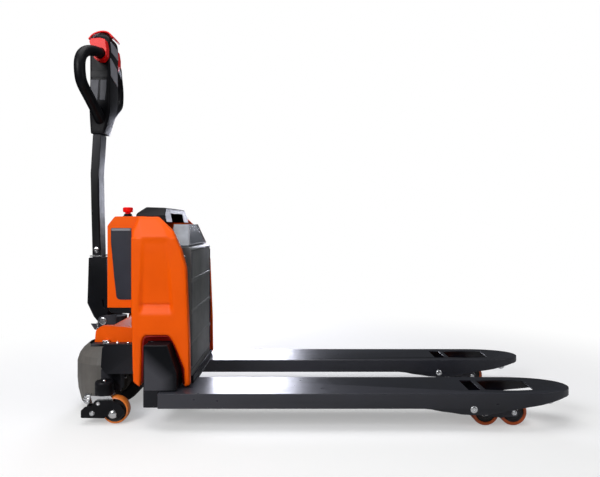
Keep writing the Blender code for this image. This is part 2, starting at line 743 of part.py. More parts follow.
def lower_hood():
    """Low cover over the drive frame, open in the middle for the steering column."""
    z_low = FRAME_TOP + GAP
    outline = rounded([(-0.6585, z_low, 0.0), (-0.6555, 0.270, 0.014), (-0.640, 0.283, 0.014),
                       (-0.600, 0.283, 0.02), (-0.530, 0.278, 0.004), (-0.530, z_low, 0.0)], 0.0, 4)
    made = plate("lower_hood", outline, -0.172, 0.172, "XZ", ORANGE)
    soften(made, 0.008, 3, 50)
    hollow = box("hood_inside", (-0.650, -0.166, 0.20), (-0.50, 0.166, 0.270))
    column_way = cylinder("hood_column_way", (STEER_X, 0.0, 0.26), "Z", 0.0345, 0.10, segments=28)
    mouth = box("hood_mouth", (-0.70, -0.0345, 0.20), (STEER_X, 0.0345, 0.32))
    tiller_way = box("hood_tiller_way", (-0.70, -0.150, 0.20), (-0.6070, 0.150, 0.32))
    cut(made, hollow, column_way, mouth, tiller_way)
    return made


# ---------------------------------------------------------------- steering head
def drive_cover():
    """Round guard about the drive wheel, on the operator's side of it."""
    r = DRIVE_COVER_R
    outer = [(0.086, 0.2035), (0.104, 0.1885), (0.1165, 0.1715), (r, 0.150),
             (r, 0.095), (0.1205, 0.060), (0.1110, 0.020)]
    inner = [(0.1072, 0.020), (0.1165, 0.060), (r - WALL, 0.095), (r - WALL, 0.149),
             (0.1130, 0.1693), (0.1012, 0.1855), (0.086, 0.1985)]
    made = turned("drive_cover", outer + inner, (STEER_X, 0.0, 0.0), "Z", GREY_CAST, 32)
    front = box("drive_cover_front", (STEER_X + 0.030, -0.2, -0.1), (STEER_X + 0.2, 0.2, 0.3))
    cut(made, front)
    return made


def gearbox():
    """Gear case beside the wheel, with the yoke that bridges the wheel and joins the motor."""
    made = cylinder("gearbox", (STEER_X, -0.0655, DRIVE_R), "Y", 0.068, 0.052, CAST_IRON, 28)
    case = plate("gear_case", link_outline(STEER_X, DRIVE_R, 0.060, STEER_X, 0.189, 0.031),
                 -0.0600, -0.0405)
    yoke = box("gear_yoke", (STEER_X - 0.032, -0.0600, 0.2125), (STEER_X + 0.032, 0.0600, 0.2205))
    cheek = plate("gear_cheek", link_outline(STEER_X, DRIVE_R, 0.036, STEER_X, 0.190, 0.029),
                  0.0395, 0.0475)
    axle = cylinder("gear_axle", (STEER_X, 0.0, DRIVE_R), "Y", 0.012, 0.085, segments=20)
    join(made, case, yoke, cheek, axle)
    return made


def drive_motor():
    """Drive motor on the other side of the wheel."""
    made = cylinder("drive_motor", (STEER_X, 0.0742, DRIVE_R), "Y", 0.060, 0.0520, MOTOR_BLACK, 28)
    return made


def turntable_bearing():
    """Ring on which the steering head turns under the drive frame."""
    profile = [(0.034, 0.2260), (0.060, 0.2260), (0.060, 0.2209), (0.034, 0.2209)]
    return turned("turntable_bearing", profile, (STEER_X, 0.0, 0.0), "Z", BRIGHT_STEEL, 32)


def tiller_base():
    """Steering column and the two ears that hold the tiller's pivot."""
    made = cylinder("tiller_base", (STEER_X, 0.0, (0.2209 + 0.2885) / 2), "Z", 0.0330, 0.2885 - 0.2209,
                    BLACK_STEEL, 28)
    px, pz = TILLER_PIVOT
    ear_outline = rounded([(px - 0.041, 0.2655, 0.0), (px - 0.028, 0.2455, 0.003), (-0.640, 0.2455, 0.0),
                           (-0.640, 0.294, 0.0), (px + 0.008, 0.294, 0.008), (px - 0.014, 0.288, 0.008),
                           (px - 0.020, 0.2655, 0.006)], 0.0)
    for side_name, side in SIDES.items():
        low, high = span(side, BRACKET_HALF_W + 0.0006, BRACKET_HALF_W + 0.0045)
        join(made, plate("tiller_ear_" + side_name, ear_outline, low, high))
    notch = cylinder("tiller_base_notch", (px, 0.0, pz), "Y", 0.0185, 2 * BRACKET_HALF_W + 0.0012,
                     segments=24)
    hole = cylinder("tiller_base_hole", (px, 0.0, pz), "Y", 0.0055, 0.10, segments=20)
    cut(made, notch, hole)
    return made


def pivot_bolt():
    """Bolt through the ears and the tiller bracket."""
    px, pz = TILLER_PIVOT
    half = BRACKET_HALF_W + 0.0090
    profile = [(0.0, half), (0.0095, half), (0.0095, half - 0.0040), (0.0050, half - 0.0040),
               (0.0050, -half + 0.0040), (0.0095, -half + 0.0040), (0.0095, -half), (0.0, -half)]
    return turned("pivot_bolt", profile, (px, 0.0, pz), "Y", ZINC, 20, closed=False)


def drive_wheel():
    hub_profile = [(0.0124, 0.033), (0.050, 0.033), (0.052, 0.020), (0.0725, 0.016), (0.0725, -0.016),
                   (0.052, -0.020), (0.050, -0.033), (0.0124, -0.033)]
    centre = (STEER_X, 0.0, DRIVE_R)
    hub = turned("drive_hub", hub_profile, centre, "Y", CAST_IRON, 28)
    r, w = DRIVE_R, DRIVE_HALF_W
    tyre_profile = [(0.0729, w - 0.004), (r - 0.006, w), (r, w - 0.006), (r, -w + 0.006),
                    (r - 0.006, -w), (0.0729, -w + 0.004)]
    tyre = turned("drive_tyre", tyre_profile, centre, "Y", RUBBER, 36)
    on_axis("drive_axis", centre, [hub, tyre])


# ---------------------------------------------------------------- tiller
def tiller_bracket():
    """Lower shroud of the tiller, which swings on the pivot bolt."""
    px, pz = TILLER_PIVOT
    outline = rounded([(px - 0.010, pz - 0.0125, 0.008), (-0.7155, 0.2880, 0.004), (-0.7370, 0.3330, 0.004),
                       (-0.7325, 0.4840, 0.003), (-0.6735, 0.4840, 0.003), (-0.6680, 0.3100, 0.004),
                       (px + 0.0105, 0.2900, 0.002), (px + 0.0105, pz - 0.0125, 0.008)], 0.0)
    made = plate("tiller_bracket", outline, -BRACKET_HALF_W, BRACKET_HALF_W, "XZ", BLACK_STEEL)
    hole = cylinder("bracket_pin_hole", (px, 0.0, pz), "Y", 0.0055, 0.10, segments=20)
    window = plate("bracket_window", rounded([(-0.6885, 0.3460), (-0.6845, 0.3460), (-0.6800, 0.3160),
                                              (-0.6840, 0.3160)], 0.001, 2), -0.05, 0.05)
    socket = plate("bracket_socket", tube_outline(0.0006, 0.4490), -TUBE_HALF_W - 0.0004,
                   TUBE_HALF_W + 0.0004)
    cut(made, hole, window, socket)
    return made


def tube_line():
    """Operator-side edge of the tiller tube, from the bracket to the head: slightly bowed."""
    return [(-0.7215, 0.4500), (-0.7225, 0.5100), (-0.7262, 0.6550), (-0.7284, 0.7640),
            (-0.7205, 0.8950)]


def tube_outline(grow, z_low):
    line = tube_line()
    line[0] = (line[0][0], z_low)
    back = [(x - grow, z) for x, z in line]
    front = [(x + TUBE_DEPTH + grow, z) for x, z in reversed(line)]
    return back + front


def tiller_tube():
    """Rectangular tiller arm."""
    made = plate("tiller_tube", tube_outline(0.0, 0.4500), -TUBE_HALF_W + 0.0006, TUBE_HALF_W - 0.0006,
                 "XZ", BLACK_STEEL)
    soften(made, 0.004, 2, 60)
    return made


def tiller_head():
    """Control head: wide at the top, narrowing to the neck, with a button well for each switch."""
    side_outline = rounded([(-0.7257, 0.8955, 0.006), (-0.7290, 0.9650, 0.02), (HEAD_BACK_X, 1.0500, 0.03),
                            (HEAD_BACK_X, 1.1750, 0.01), (-0.7230, 1.1990, 0.008), (-0.7050, 1.2190, 0.02),
                            (-0.6880, 1.2265, 0.02), (-0.6690, 1.2235, 0.02), (-0.6560, 1.2080, 0.01),
                            (HEAD_FRONT_X, 1.0550, 0.03), (-0.6620, 0.9650, 0.02),
                            (-0.6820, 0.8955, 0.006)], 0.0, 3)
    made = plate("tiller_head", side_outline, -HEAD_HALF_W, HEAD_HALF_W, "XZ", BLACK_PLASTIC)
    for side_name, side in SIDES.items():
        taper = plate("head_taper_" + side_name,
                      [(side * 0.0320, 0.85), (side * 0.0330, 0.9300), (side * HEAD_HALF_W, 1.0000),
                       (side * 0.10, 1.02), (side * 0.10, 0.85)], -0.80, -0.60, "YZ")
        cut(made, taper)
    for y, z in BUTTON_PLACES.values():
        well = cylinder(f"head_well_{z:.3f}_{y:.3f}", (HEAD_BACK_X, y, z), "X", 0.0090, 0.0140, segments=20)
        cut(made, well)
    return made


BUTTON_PLACES = {"lift_button": (-0.022, 1.160), "lower_button": (0.022, 1.160), "horn_button": (0.0, 1.110)}


def head_button(name, finish):
    """Push button in its well on the operator's face of the head."""
    y, z = BUTTON_PLACES[name]
    centre = (HEAD_BACK_X - 0.0005, y, z)
    made = cylinder(name, centre, "X", 0.0085, 0.0060, finish, 20)
    origin_at(made, centre)


def grip(side_name, side):
    """Closed loop handle: out along the bar, down the side and back to the neck."""
    bar_x, bar_z = BAR
    path = smooth_path([
        (bar_x, side * (HEAD_HALF_W + 0.0005), bar_z), (bar_x, side * 0.0620, bar_z),
        (bar_x, side * 0.0800, bar_z), (-0.6870, side * 0.1150, 1.1430), (-0.6955, side * 0.1450, 1.1320),
        (-0.7005, side * 0.1680, 1.1120), (-0.7018, side * 0.1790, 1.0850), (-0.7012, side * 0.1765, 1.0500),
        (-0.7000, side * 0.1620, 1.0250), (-0.6980, side * 0.1100, 0.9940), (-0.6960, side * 0.0616, 0.9650),
        (-0.6955, side * 0.0350, 0.9480)], 4)
    made = tube("grip_" + side_name, path, GRIP_R, BLACK_PLASTIC, 2)
    low, high = span(side, 0.0, HEAD_HALF_W + 0.0005)
    core = box("grip_core_" + side_name, (-0.78, low, 0.85), (-0.60, high, 1.25))
    cut(made, core)
    return made


def throttle(side_name, side):
    """Butterfly throttle: a ring about the grip bar with a wing that the thumb pushes."""
    bar_x, bar_z = BAR
    low, high = span(side, HEAD_HALF_W + 0.0010, HEAD_HALF_W + 0.0270)
    outline = rounded([(bar_x - 0.0180, bar_z - 0.0170), (bar_x - 0.0240, bar_z + 0.0080),
                       (bar_x - 0.0350, bar_z + 0.0400), (bar_x - 0.0270, bar_z + 0.0480),
                       (bar_x + 0.0020, bar_z + 0.0500), (bar_x + 0.0170, bar_z + 0.0450),
                       (bar_x + 0.0215, bar_z + 0.0160), (bar_x + 0.0215, bar_z - 0.0080),
                       (bar_x + 0.0100, bar_z - 0.0240), (bar_x - 0.0080, bar_z - 0.0240)], 0.007, 3)
    made = plate("throttle_" + side_name, outline, low, high, "XZ", RED)
    hole = cylinder("throttle_hole_" + side_name, (bar_x, side * 0.06, bar_z), "Y", GRIP_R + 0.0014, 0.08,
                    segments=24)
    cut(made, hole)
    on_axis("throttle_axis_" + side_name, (bar_x, 0.0, bar_z), [made])


def belly_button():
    """Curved emergency-reverse plate over the top of the head."""
    outer = [(-0.7330, 1.2085), (-0.7170, 1.2255), (-0.6900, 1.2350), (-0.6655, 1.2315), (-0.6495, 1.2135)]
    curve = smooth_path([(x, z, 0.0) for x, z in outer], 3)
    upper = [(point.x, point.y) for point in curve]
    lower = []
    for index, point in enumerate(upper):
        before = Vector(upper[max(index - 1, 0)])
        after = Vector(upper[min(index + 1, len(upper) - 1)])
        along = (after - before).normalized()
        lower.append((point[0] + along.y * 0.0050, point[1] - along.x * 0.0050))
    made = plate("belly_button", upper + lower[::-1], -0.036, 0.036, "XZ", RED)
    origin_at(made, (-0.690, 0.0, 1.2325))


# ---------------------------------------------------------------- switches on the rear cover
def estop_button():
    """Mushroom head on its stem."""
    x, y, z = -0.564, -0.150, COVER_TOP
    profile = [(0.0, 0.0290), (0.0110, 0.0285), (0.0150, 0.0250), (0.0150, 0.0150), (0.0110, 0.0130),
               (0.0085, 0.0130), (0.0085, 0.0048), (0.0, 0.0048)]
    made = turned("estop_button", profile, (x, y, z), "Z", RED, 24, closed=False)
    origin_at(made, (x, y, z + 0.0130))


def key():
    """Ignition key: flat bow on a round shank."""
    x, y, z = -0.566, 0.120, COVER_TOP
    made = cylinder("key", (x, y, z + 0.0045), "Z", 0.0050, 0.0080, BLACK_PLASTIC, 16)
    bow = box("key_bow", (x - 0.0100, y - 0.0015, z + 0.0075), (x + 0.0100, y + 0.0015, z + 0.0270))
    join(made, bow)
    on_axis("key_axis", (x, y, z), [made])


# ---------------------------------------------------------------- casters
def caster_fork(side_name, side):
    """Plated fork: a top plate, a leg on each side of the wheel and the axle."""
    y = side * CASTER_Y
    axle_x = CASTER_X + CASTER_TRAIL
    inner = CASTER_HALF_W + 0.0012
    outer = inner + 0.0035
    made = box("caster_fork_" + side_name, (-0.6530, y - outer, 0.0812), (-0.5930, y + outer, 0.0848), ZINC)
    leg_outline = rounded([(-0.6530, 0.0848, 0.0), (-0.5930, 0.0848, 0.0), (axle_x + 0.0130, 0.0420, 0.008),
                           (axle_x + 0.0080, 0.0290, 0.008), (axle_x - 0.0080, 0.0290, 0.008),
                           (-0.6480, 0.0640, 0.006)], 0.0)
    for sign in (-1, 1):
        low, high = span(sign, inner, outer)
        leg = plate(f"caster_leg_{side_name}_{sign + 1}", leg_outline, y + low, y + high)
        join(made, leg)
    axle = cylinder("caster_axle_" + side_name, (axle_x, y, CASTER_R), "Y", 0.0060, 2 * outer - 0.001,
                    segments=16)
    join(made, axle)
    return made


def caster_guard(side_name, side):
    """Toe guard: a shaped cheek on each side, joined ahead of the wheel."""
    y = side * CASTER_Y
    inner = CASTER_HALF_W + 0.0051
    outer = inner + 0.0050
    outline = rounded([(-0.6800, 0.0214), (-0.6800, 0.0430), (-0.6690, 0.0535), (-0.6520, 0.0540),
                       (-0.6370, 0.0735, 0.008), (-0.5930, 0.0750, 0.015), (-0.5640, 0.0610, 0.015),
                       (-0.5500, 0.0390, 0.012), (-0.5620, 0.0240, 0.010), (-0.5690, 0.0205),
                       (-0.5830, 0.0330), (-0.5980, 0.0330), (-0.6110, 0.0205)], 0.003, 3)
    made = plate("caster_guard_" + side_name, outline, y - outer, y - inner, "XZ", BLACK_PLASTIC)
    far = plate("guard_far_cheek_" + side_name, outline, y + inner, y + outer)
    nose = box("guard_nose_" + side_name, (-0.6785, y - outer + 0.002, 0.0230),
               (-0.6660, y + outer - 0.002, 0.0420))
    join(made, far, nose)
    return made


def caster_wheel(side_name, side):
    y = side * CASTER_Y
    centre = (CASTER_X + CASTER_TRAIL, y, CASTER_R)
    profile = wheel_profile(CASTER_R, CASTER_HALF_W, 0.0064, 0.0035)
    made = turned("caster_wheel_" + side_name, profile, centre, "Y", POLYURETHANE, 24)
    on_axis("caster_wheel_axis_" + side_name, centre, [made])


# ---------------------------------------------------------------- assembly
def build():
    for side_name, side in SIDES.items():
        fork(side_name, side)
        heel(side_name, side)
        side_panel(side_name, side)
        entry_roller(side_name, side)
        roller_arm(side_name, side)
        bogie(side_name, side)
        load_roller("rear_roller_" + side_name, side, BOGIE_X - ROLLER_SPACING / 2)
        load_roller("front_roller_" + side_name, side, BOGIE_X + ROLLER_SPACING / 2)
        push_rod(side_name, side)
        caster_housing(side_name, side)
        caster = [caster_fork(side_name, side), caster_guard(side_name, side)]
        on_axis("caster_axis_" + side_name, (CASTER_X, side * CASTER_Y, 0.085), caster)
        caster_wheel(side_name, side)
        throttle(side_name, side)
    bulkhead()
    battery_tray()
    rear_cover()
    rear_skirt()
    top_hood()
    hydraulic_unit()
    controller()
    lift_cylinder()
    lift_rod()
    battery()
    battery_cover()
    drive_frame()
    lower_hood()
    steering = [drive_cover(), gearbox(), drive_motor(), turntable_bearing(), tiller_base(), pivot_bolt()]
    on_axis("steering_axis", (STEER_X, 0.0, DRIVE_R), steering)
    drive_wheel()
    tiller = [tiller_bracket(), tiller_tube(), tiller_head()]
    tiller += [grip(side_name, side) for side_name, side in SIDES.items()]
    on_axis("tiller_axis", (TILLER_PIVOT[0], 0.0, TILLER_PIVOT[1]), tiller)
    belly_button()
    head_button("lift_button", CHARCOAL)
    head_button("lower_button", CHARCOAL)
    head_button("horn_button", ORANGE)
    estop_button()
    key()


build()
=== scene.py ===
"""Looks of the electric pallet truck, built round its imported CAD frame. Metres, +Z up."""

import json
import math

import bmesh
import bpy
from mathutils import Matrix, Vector


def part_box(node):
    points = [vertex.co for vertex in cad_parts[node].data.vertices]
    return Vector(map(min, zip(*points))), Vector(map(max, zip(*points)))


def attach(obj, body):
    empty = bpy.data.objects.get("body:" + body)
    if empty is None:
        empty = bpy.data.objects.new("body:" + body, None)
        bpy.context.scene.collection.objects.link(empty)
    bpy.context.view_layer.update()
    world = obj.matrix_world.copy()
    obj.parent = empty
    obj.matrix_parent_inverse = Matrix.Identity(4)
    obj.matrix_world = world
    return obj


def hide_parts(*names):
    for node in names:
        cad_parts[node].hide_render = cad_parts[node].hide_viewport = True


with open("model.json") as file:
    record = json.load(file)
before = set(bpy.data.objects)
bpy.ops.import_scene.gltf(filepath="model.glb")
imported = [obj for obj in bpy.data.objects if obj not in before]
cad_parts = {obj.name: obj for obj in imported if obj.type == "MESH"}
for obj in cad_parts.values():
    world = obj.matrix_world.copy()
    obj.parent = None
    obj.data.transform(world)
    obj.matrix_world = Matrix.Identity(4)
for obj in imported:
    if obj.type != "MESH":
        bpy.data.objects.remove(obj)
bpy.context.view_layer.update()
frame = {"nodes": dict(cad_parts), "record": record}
SIDES = {"right": -1, "left": 1}
BODY_OF = {node: body for body, nodes in frame["record"]["behaviour"]["bodies"].items() for node in nodes}
SLOT_OF = {part["node"]: part["material_slot"] for part in frame["record"]["subparts"]}


def corners_of(node):
    """Lowest and highest corner of a CAD node at rest, to a thousandth of a millimetre."""
    return [[round(value, 6) for value in corner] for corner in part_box(node)]


def centre_of(node):
    """Middle of a CAD node's box at rest."""
    return [round((low + high) / 2, 6) for low, high in zip(*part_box(node))]


FORK_Y = centre_of("rear_roller_left")[1]
CASTER_POST = centre_of("caster_housing_left")
COVER_TOP = corners_of("rear_cover")[1][2]
TILLER_PIVOT = centre_of("pivot_bolt")
DRIVE_AXLE = centre_of("drive_tyre")
HEEL_INNER, HEEL_OUTER = (corner[1] for corner in corners_of("heel_left"))
PANEL_ROOT, PANEL_FACE = (corner[1] for corner in corners_of("side_panel_left"))


# ------------------------------------------------------------------ materials
def new_shader(name):
    made = bpy.data.materials.new(name)
    made.use_nodes = True
    return made, made.node_tree, made.node_tree.nodes["Principled BSDF"]


def add_node(tree, kind, **values):
    node = tree.nodes.new(kind)
    for key, value in values.items():
        if key in node.inputs:
            node.inputs[key].default_value = value
        else:
            setattr(node, key, value)
    return node


def noise(tree, scale, detail=3.0, stretch=None):
    """A noise texture in the model's own metres."""
    place = add_node(tree, "ShaderNodeTexCoord")
    texture = add_node(tree, "ShaderNodeTexNoise", Scale=scale, Detail=detail)
    source = place.outputs["Object"]
    if stretch:
        mapping = add_node(tree, "ShaderNodeMapping", Scale=stretch)
        tree.links.new(source, mapping.inputs["Vector"])
        source = mapping.outputs["Vector"]
    tree.links.new(source, texture.inputs["Vector"])
    return texture.outputs["Fac"]


def ramp(tree, source, low, high, dark, light):
    """Colour that runs from dark to light as source goes from low to high."""
    made = add_node(tree, "ShaderNodeValToRGB")
    made.color_ramp.elements[0].position = low
    made.color_ramp.elements[1].position = high
    made.color_ramp.elements[0].color = (*dark, 1.0)
    made.color_ramp.elements[1].color = (*light, 1.0)
    tree.links.new(source, made.inputs["Fac"])
    return made.outputs["Color"]


def mix(tree, factor, first, second):
    made = add_node(tree, "ShaderNodeMix", data_type="RGBA")
    tree.links.new(factor, made.inputs["Factor"])
    tree.links.new(first, made.inputs["A"])
    tree.links.new(second, made.inputs["B"])
    return made.outputs["Result"]


def finish_material(name, colour, roughness, metallic=0.0, coat=0.0, vary=0.10, grain=900.0,
                    grain_depth=0.10, rough_vary=0.08, wear=None, stretch=None, specular=0.5):
    """A surface with mottled colour, uneven roughness, a fine grain and, if asked, lighter worn edges."""
    made, tree, shader = new_shader(name)
    shader.inputs["Metallic"].default_value = metallic
    shader.inputs["Coat Weight"].default_value = coat
    shader.inputs["Coat Roughness"].default_value = 0.12
    shader.inputs["Specular IOR Level"].default_value = specular
    dark = tuple(channel * (1.0 - vary) for channel in colour)
    light = tuple(min(channel * (1.0 + vary), 1.0) for channel in colour)
    colours = ramp(tree, noise(tree, 14.0, 4.0, stretch), 0.35, 0.65, dark, light)
    if wear is not None:
        geometry = add_node(tree, "ShaderNodeNewGeometry")
        edge = ramp(tree, geometry.outputs["Pointiness"], 0.53, 0.62, (0, 0, 0), (1, 1, 1))
        worn = add_node(tree, "ShaderNodeRGB")
        worn.outputs[0].default_value = (*wear, 1.0)
        colours = mix(tree, edge, colours, worn.outputs[0])
    tree.links.new(colours, shader.inputs["Base Color"])
    spread = add_node(tree, "ShaderNodeMapRange")
    spread.inputs["To Min"].default_value = max(roughness - rough_vary, 0.03)
    spread.inputs["To Max"].default_value = min(roughness + rough_vary, 1.0)
    tree.links.new(noise(tree, 38.0, 3.0, stretch), spread.inputs["Value"])
    tree.links.new(spread.outputs["Result"], shader.inputs["Roughness"])
    bump = add_node(tree, "ShaderNodeBump", Strength=grain_depth, Distance=0.0004)
    tree.links.new(noise(tree, grain, 2.0, stretch), bump.inputs["Height"])
    tree.links.new(bump.outputs["Normal"], shader.inputs["Normal"])
    return made


# One finish for each material slot of the record.
MATERIALS = {
    "orange_paint": finish_material("orange_gloss_paint", (1.0, 0.114, 0.0), 0.42, vary=0.035,
                                    grain=520.0, grain_depth=0.03, rough_vary=0.05, specular=0.16),
    "black_steel": finish_material("black_powder_coat", (0.0036, 0.0042, 0.0060), 0.40, vary=0.22,
                                   grain=1500.0, grain_depth=0.16, wear=(0.06, 0.06, 0.07), specular=0.12),
    "black_plastic": finish_material("black_moulded_plastic", (0.0042, 0.0044, 0.0060), 0.42, vary=0.18,
                                     grain=1800.0, grain_depth=0.18, wear=(0.028, 0.028, 0.034),
                                     specular=0.13),
    "charcoal_plastic": finish_material("charcoal_moulded_plastic", (0.020, 0.022, 0.034), 0.42, vary=0.14,
                                        grain=1500.0, grain_depth=0.14, wear=(0.09, 0.09, 0.11),
                                        specular=0.3),
    "grey_cover": finish_material("warm_grey_cover", (0.125, 0.116, 0.106), 0.52, vary=0.16,
                                  grain=700.0, grain_depth=0.20),
    "cast_iron": finish_material("cast_iron_paint", (0.085, 0.072, 0.060), 0.66, 0.35, vary=0.30,
                                 grain=420.0, grain_depth=0.55),
    "zinc_plate": finish_material("bright_zinc", (0.70, 0.71, 0.73), 0.26, 1.0, vary=0.08, grain=900.0,
                                  grain_depth=0.05, rough_vary=0.10),
    "bright_steel": finish_material("ground_steel", (0.60, 0.60, 0.61), 0.26, 1.0, vary=0.08, grain=600.0,
                                    grain_depth=0.10, stretch=(1.0, 14.0, 14.0)),
    "red_plastic": finish_material("red_gloss_plastic", (0.86, 0.004, 0.003), 0.36, vary=0.07,
                                   grain=900.0, grain_depth=0.04, rough_vary=0.05, specular=0.22),
    "polyurethane": finish_material("orange_brown_polyurethane", (0.46, 0.075, 0.010), 0.36, vary=0.16,
                                    grain=700.0, grain_depth=0.10, specular=0.6),
    "drive_tyre": finish_material("drive_tyre_rubber", (0.020, 0.020, 0.020), 0.74, vary=0.25, grain=600.0,
                                  grain_depth=0.45),
    "motor_black": finish_material("motor_paint", (0.016, 0.016, 0.018), 0.46, 0.2, vary=0.20, grain=900.0,
                                   grain_depth=0.15, wear=(0.06, 0.06, 0.065)),
}
# Finishes with no slot of their own; a piece that wears one names it as its finish.
EXTRA = {
    "battery_grey": finish_material("battery_case_grey", (0.15, 0.155, 0.155), 0.50, vary=0.12, grain=1500.0,
                                    grain_depth=0.14, wear=(0.16, 0.16, 0.17), specular=0.3),
    "fork_paint": finish_material("fork_black_paint", (0.0036, 0.0044, 0.0085), 0.31, vary=0.22, grain=1500.0,
                                  grain_depth=0.08, wear=(0.09, 0.09, 0.11), specular=0.45),
    # Soft grey for the head's pads, and for the strips of painted highlight on the rear inset and the clear
    # cover's edges.
    "soft_grey": finish_material("soft_grey_pad_and_painted_highlight", (0.25, 0.25, 0.28), 0.55, vary=0.06, grain=1600.0,
                                 grain_depth=0.16),
    "display": finish_material("dark_display", (0.006, 0.010, 0.014), 0.10, coat=0.6, vary=0.10,
                               grain=300.0, grain_depth=0.01, rough_vary=0.02),
    "tread": finish_material("orange_tread", (0.80, 0.21, 0.030), 0.34, vary=0.12, grain=700.0,
                             grain_depth=0.10, specular=0.6),
    "yellow": finish_material("yellow_plastic", (0.85, 0.50, 0.03), 0.40, vary=0.06, grain=900.0,
                              grain_depth=0.06),
    # Orange paint of the arch's inner lip, darkened to deep red: painted shade.
    "dark_red_shade": finish_material("orange_inner_lip_painted_shade", (0.36, 0.004, 0.0), 0.55, vary=0.06,
                                      grain=520.0, grain_depth=0.04),
    "hub": finish_material("roller_hub_black", (0.0070, 0.0070, 0.0085), 0.50, vary=0.18, grain=1200.0,
                           grain_depth=0.12),
}


def clear_material():
    made, tree, shader = new_shader("clear_smoked_cover")
    shader.inputs["Alpha"].default_value = 0.72
    shader.inputs["Coat Weight"].default_value = 0.4
    tint = ramp(tree, noise(tree, 20.0), 0.3, 0.7, (0.20, 0.22, 0.27), (0.34, 0.37, 0.43))
    tree.links.new(tint, shader.inputs["Base Color"])
    spread = add_node(tree, "ShaderNodeMapRange")
    spread.inputs["To Min"].default_value = 0.06
    spread.inputs["To Max"].default_value = 0.16
    tree.links.new(noise(tree, 60.0), spread.inputs["Value"])
    tree.links.new(spread.outputs["Result"], shader.inputs["Roughness"])
    return made


MATERIALS["clear_cover"] = clear_material()


def paint(piece, finish):
    piece.data.materials.clear()
    piece.data.materials.append(MATERIALS.get(finish) or EXTRA[finish])


# ------------------------------------------------------------------ mesh helpers
def place_piece(name, shape, body, finish, angle=32, bevel=0.0, segments=2):
    """Turn a bmesh into a finished piece that rides on a body."""
    bmesh.ops.remove_doubles(shape, verts=shape.verts, dist=2e-6)
    bmesh.ops.recalc_face_normals(shape, faces=shape.faces)
    mesh = bpy.data.meshes.new(name)
    shape.to_mesh(mesh)
    shape.free()
    made = bpy.data.objects.new(name, mesh)
    bpy.context.scene.collection.objects.link(made)
    if bevel:
        rounding = made.modifiers.new("rounding", "BEVEL")
        rounding.width = bevel
        rounding.segments = segments
        rounding.limit_method = "ANGLE"
        rounding.angle_limit = math.radians(28)
        rounding.use_clamp_overlap = True
    paint(made, finish)
    mesh.shade_smooth()
    mesh.set_sharp_from_angle(angle=math.radians(angle))
    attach(made, body)
    return made


def lift(plane, u, v, w):
    """A point of an outline plane (XZ, XY or YZ), w across it."""
    return {"XZ": (u, w, v), "XY": (u, v, w), "YZ": (w, u, v)}[plane]


def prism_mesh(outline, low, high, plane="XZ"):
    shape = bmesh.new()
    near = [shape.verts.new(lift(plane, u, v, low)) for u, v in outline]
    far = [shape.verts.new(lift(plane, u, v, high)) for u, v in outline]
    shape.faces.new(near)
    shape.faces.new(far[::-1])
    for index in range(len(outline)):
        after = (index + 1) % len(outline)
        shape.faces.new((near[index], far[index], far[after], near[after]))
    return shape


def prism(name, outline, low, high, plane, body, finish, bevel=0.001, segments=2):
    shape = prism_mesh(outline, low, high, plane)
    return place_piece(name, shape, body, finish, bevel=bevel, segments=segments)


def side_prism(name, side, outline, inner, outer, body, finish, bevel=0.001, segments=2):
    """An XZ outline on one side of the truck, from inner to outer across its width."""
    low, high = sorted((side * inner, side * outer))
    return prism(name, outline, low, high, "XZ", body, finish, bevel, segments)


def block(name, low, high, body, finish, bevel=0.001):
    (x0, y0, z0), (x1, y1, z1) = low, high
    return prism(name, [(x0, y0), (x1, y0), (x1, y1), (x0, y1)], z0, z1, "XY", body, finish, bevel)


AXES = {"X": (Vector((0, 1, 0)), Vector((0, 0, 1)), Vector((1, 0, 0))),
        "Y": (Vector((0, 0, 1)), Vector((1, 0, 0)), Vector((0, 1, 0))),
        "Z": (Vector((1, 0, 0)), Vector((0, 1, 0)), Vector((0, 0, 1)))}


def lathe_into(shape, profile, centre, axis, steps=32, sign=1):
    """Turn a profile of (radius, height) about an axis; a radius of 0 closes that end."""
    across, up, along = AXES[axis]
    rings = []
    for radius, height in profile:
        middle = Vector(centre) + along * height * sign
        if radius < 1e-7:
            rings.append([shape.verts.new(middle)])
            continue
        rings.append([shape.verts.new(middle + (across * math.cos(a) + up * math.sin(a)) * radius)
                      for a in (2 * math.pi * step / steps for step in range(steps))])
    pairs = list(zip(rings, rings[1:]))
    if len(rings[0]) > 1 and len(rings[-1]) > 1:
        pairs.append((rings[-1], rings[0]))
    for first, second in pairs:
        for step in range(steps):
            after = (step + 1) % steps
            corners = [first[step % len(first)], first[after % len(first)],
                       second[after % len(second)], second[step % len(second)]]
            unique = list(dict.fromkeys(corners))
            if len(unique) > 2:
                shape.faces.new(unique)


def lathe(name, profile, centre, axis, body, finish, steps=32, sign=1, angle=32):
    shape = bmesh.new()
    lathe_into(shape, profile, centre, axis, steps, sign)
    return place_piece(name, shape, body, finish, angle)


def bolt(name, centre, axis, radius, height, body, sign=1, finish="zinc_plate"):
    """A domed bolt head with a washer and a drive socket."""
    r, h = radius, height
    profile = [(0.0, 0.0), (r, 0.0), (r * 1.02, h * 0.12), (r, h * 0.26), (r * 0.90, h * 0.30),
               (r * 0.88, h * 0.50), (r * 0.72, h * 0.86), (r * 0.42, h * 1.0),
               (r * 0.38, h * 0.98), (r * 0.35, h * 0.62), (0.0, h * 0.60)]
    return lathe(name, profile, centre, axis, body, finish, 28, sign)


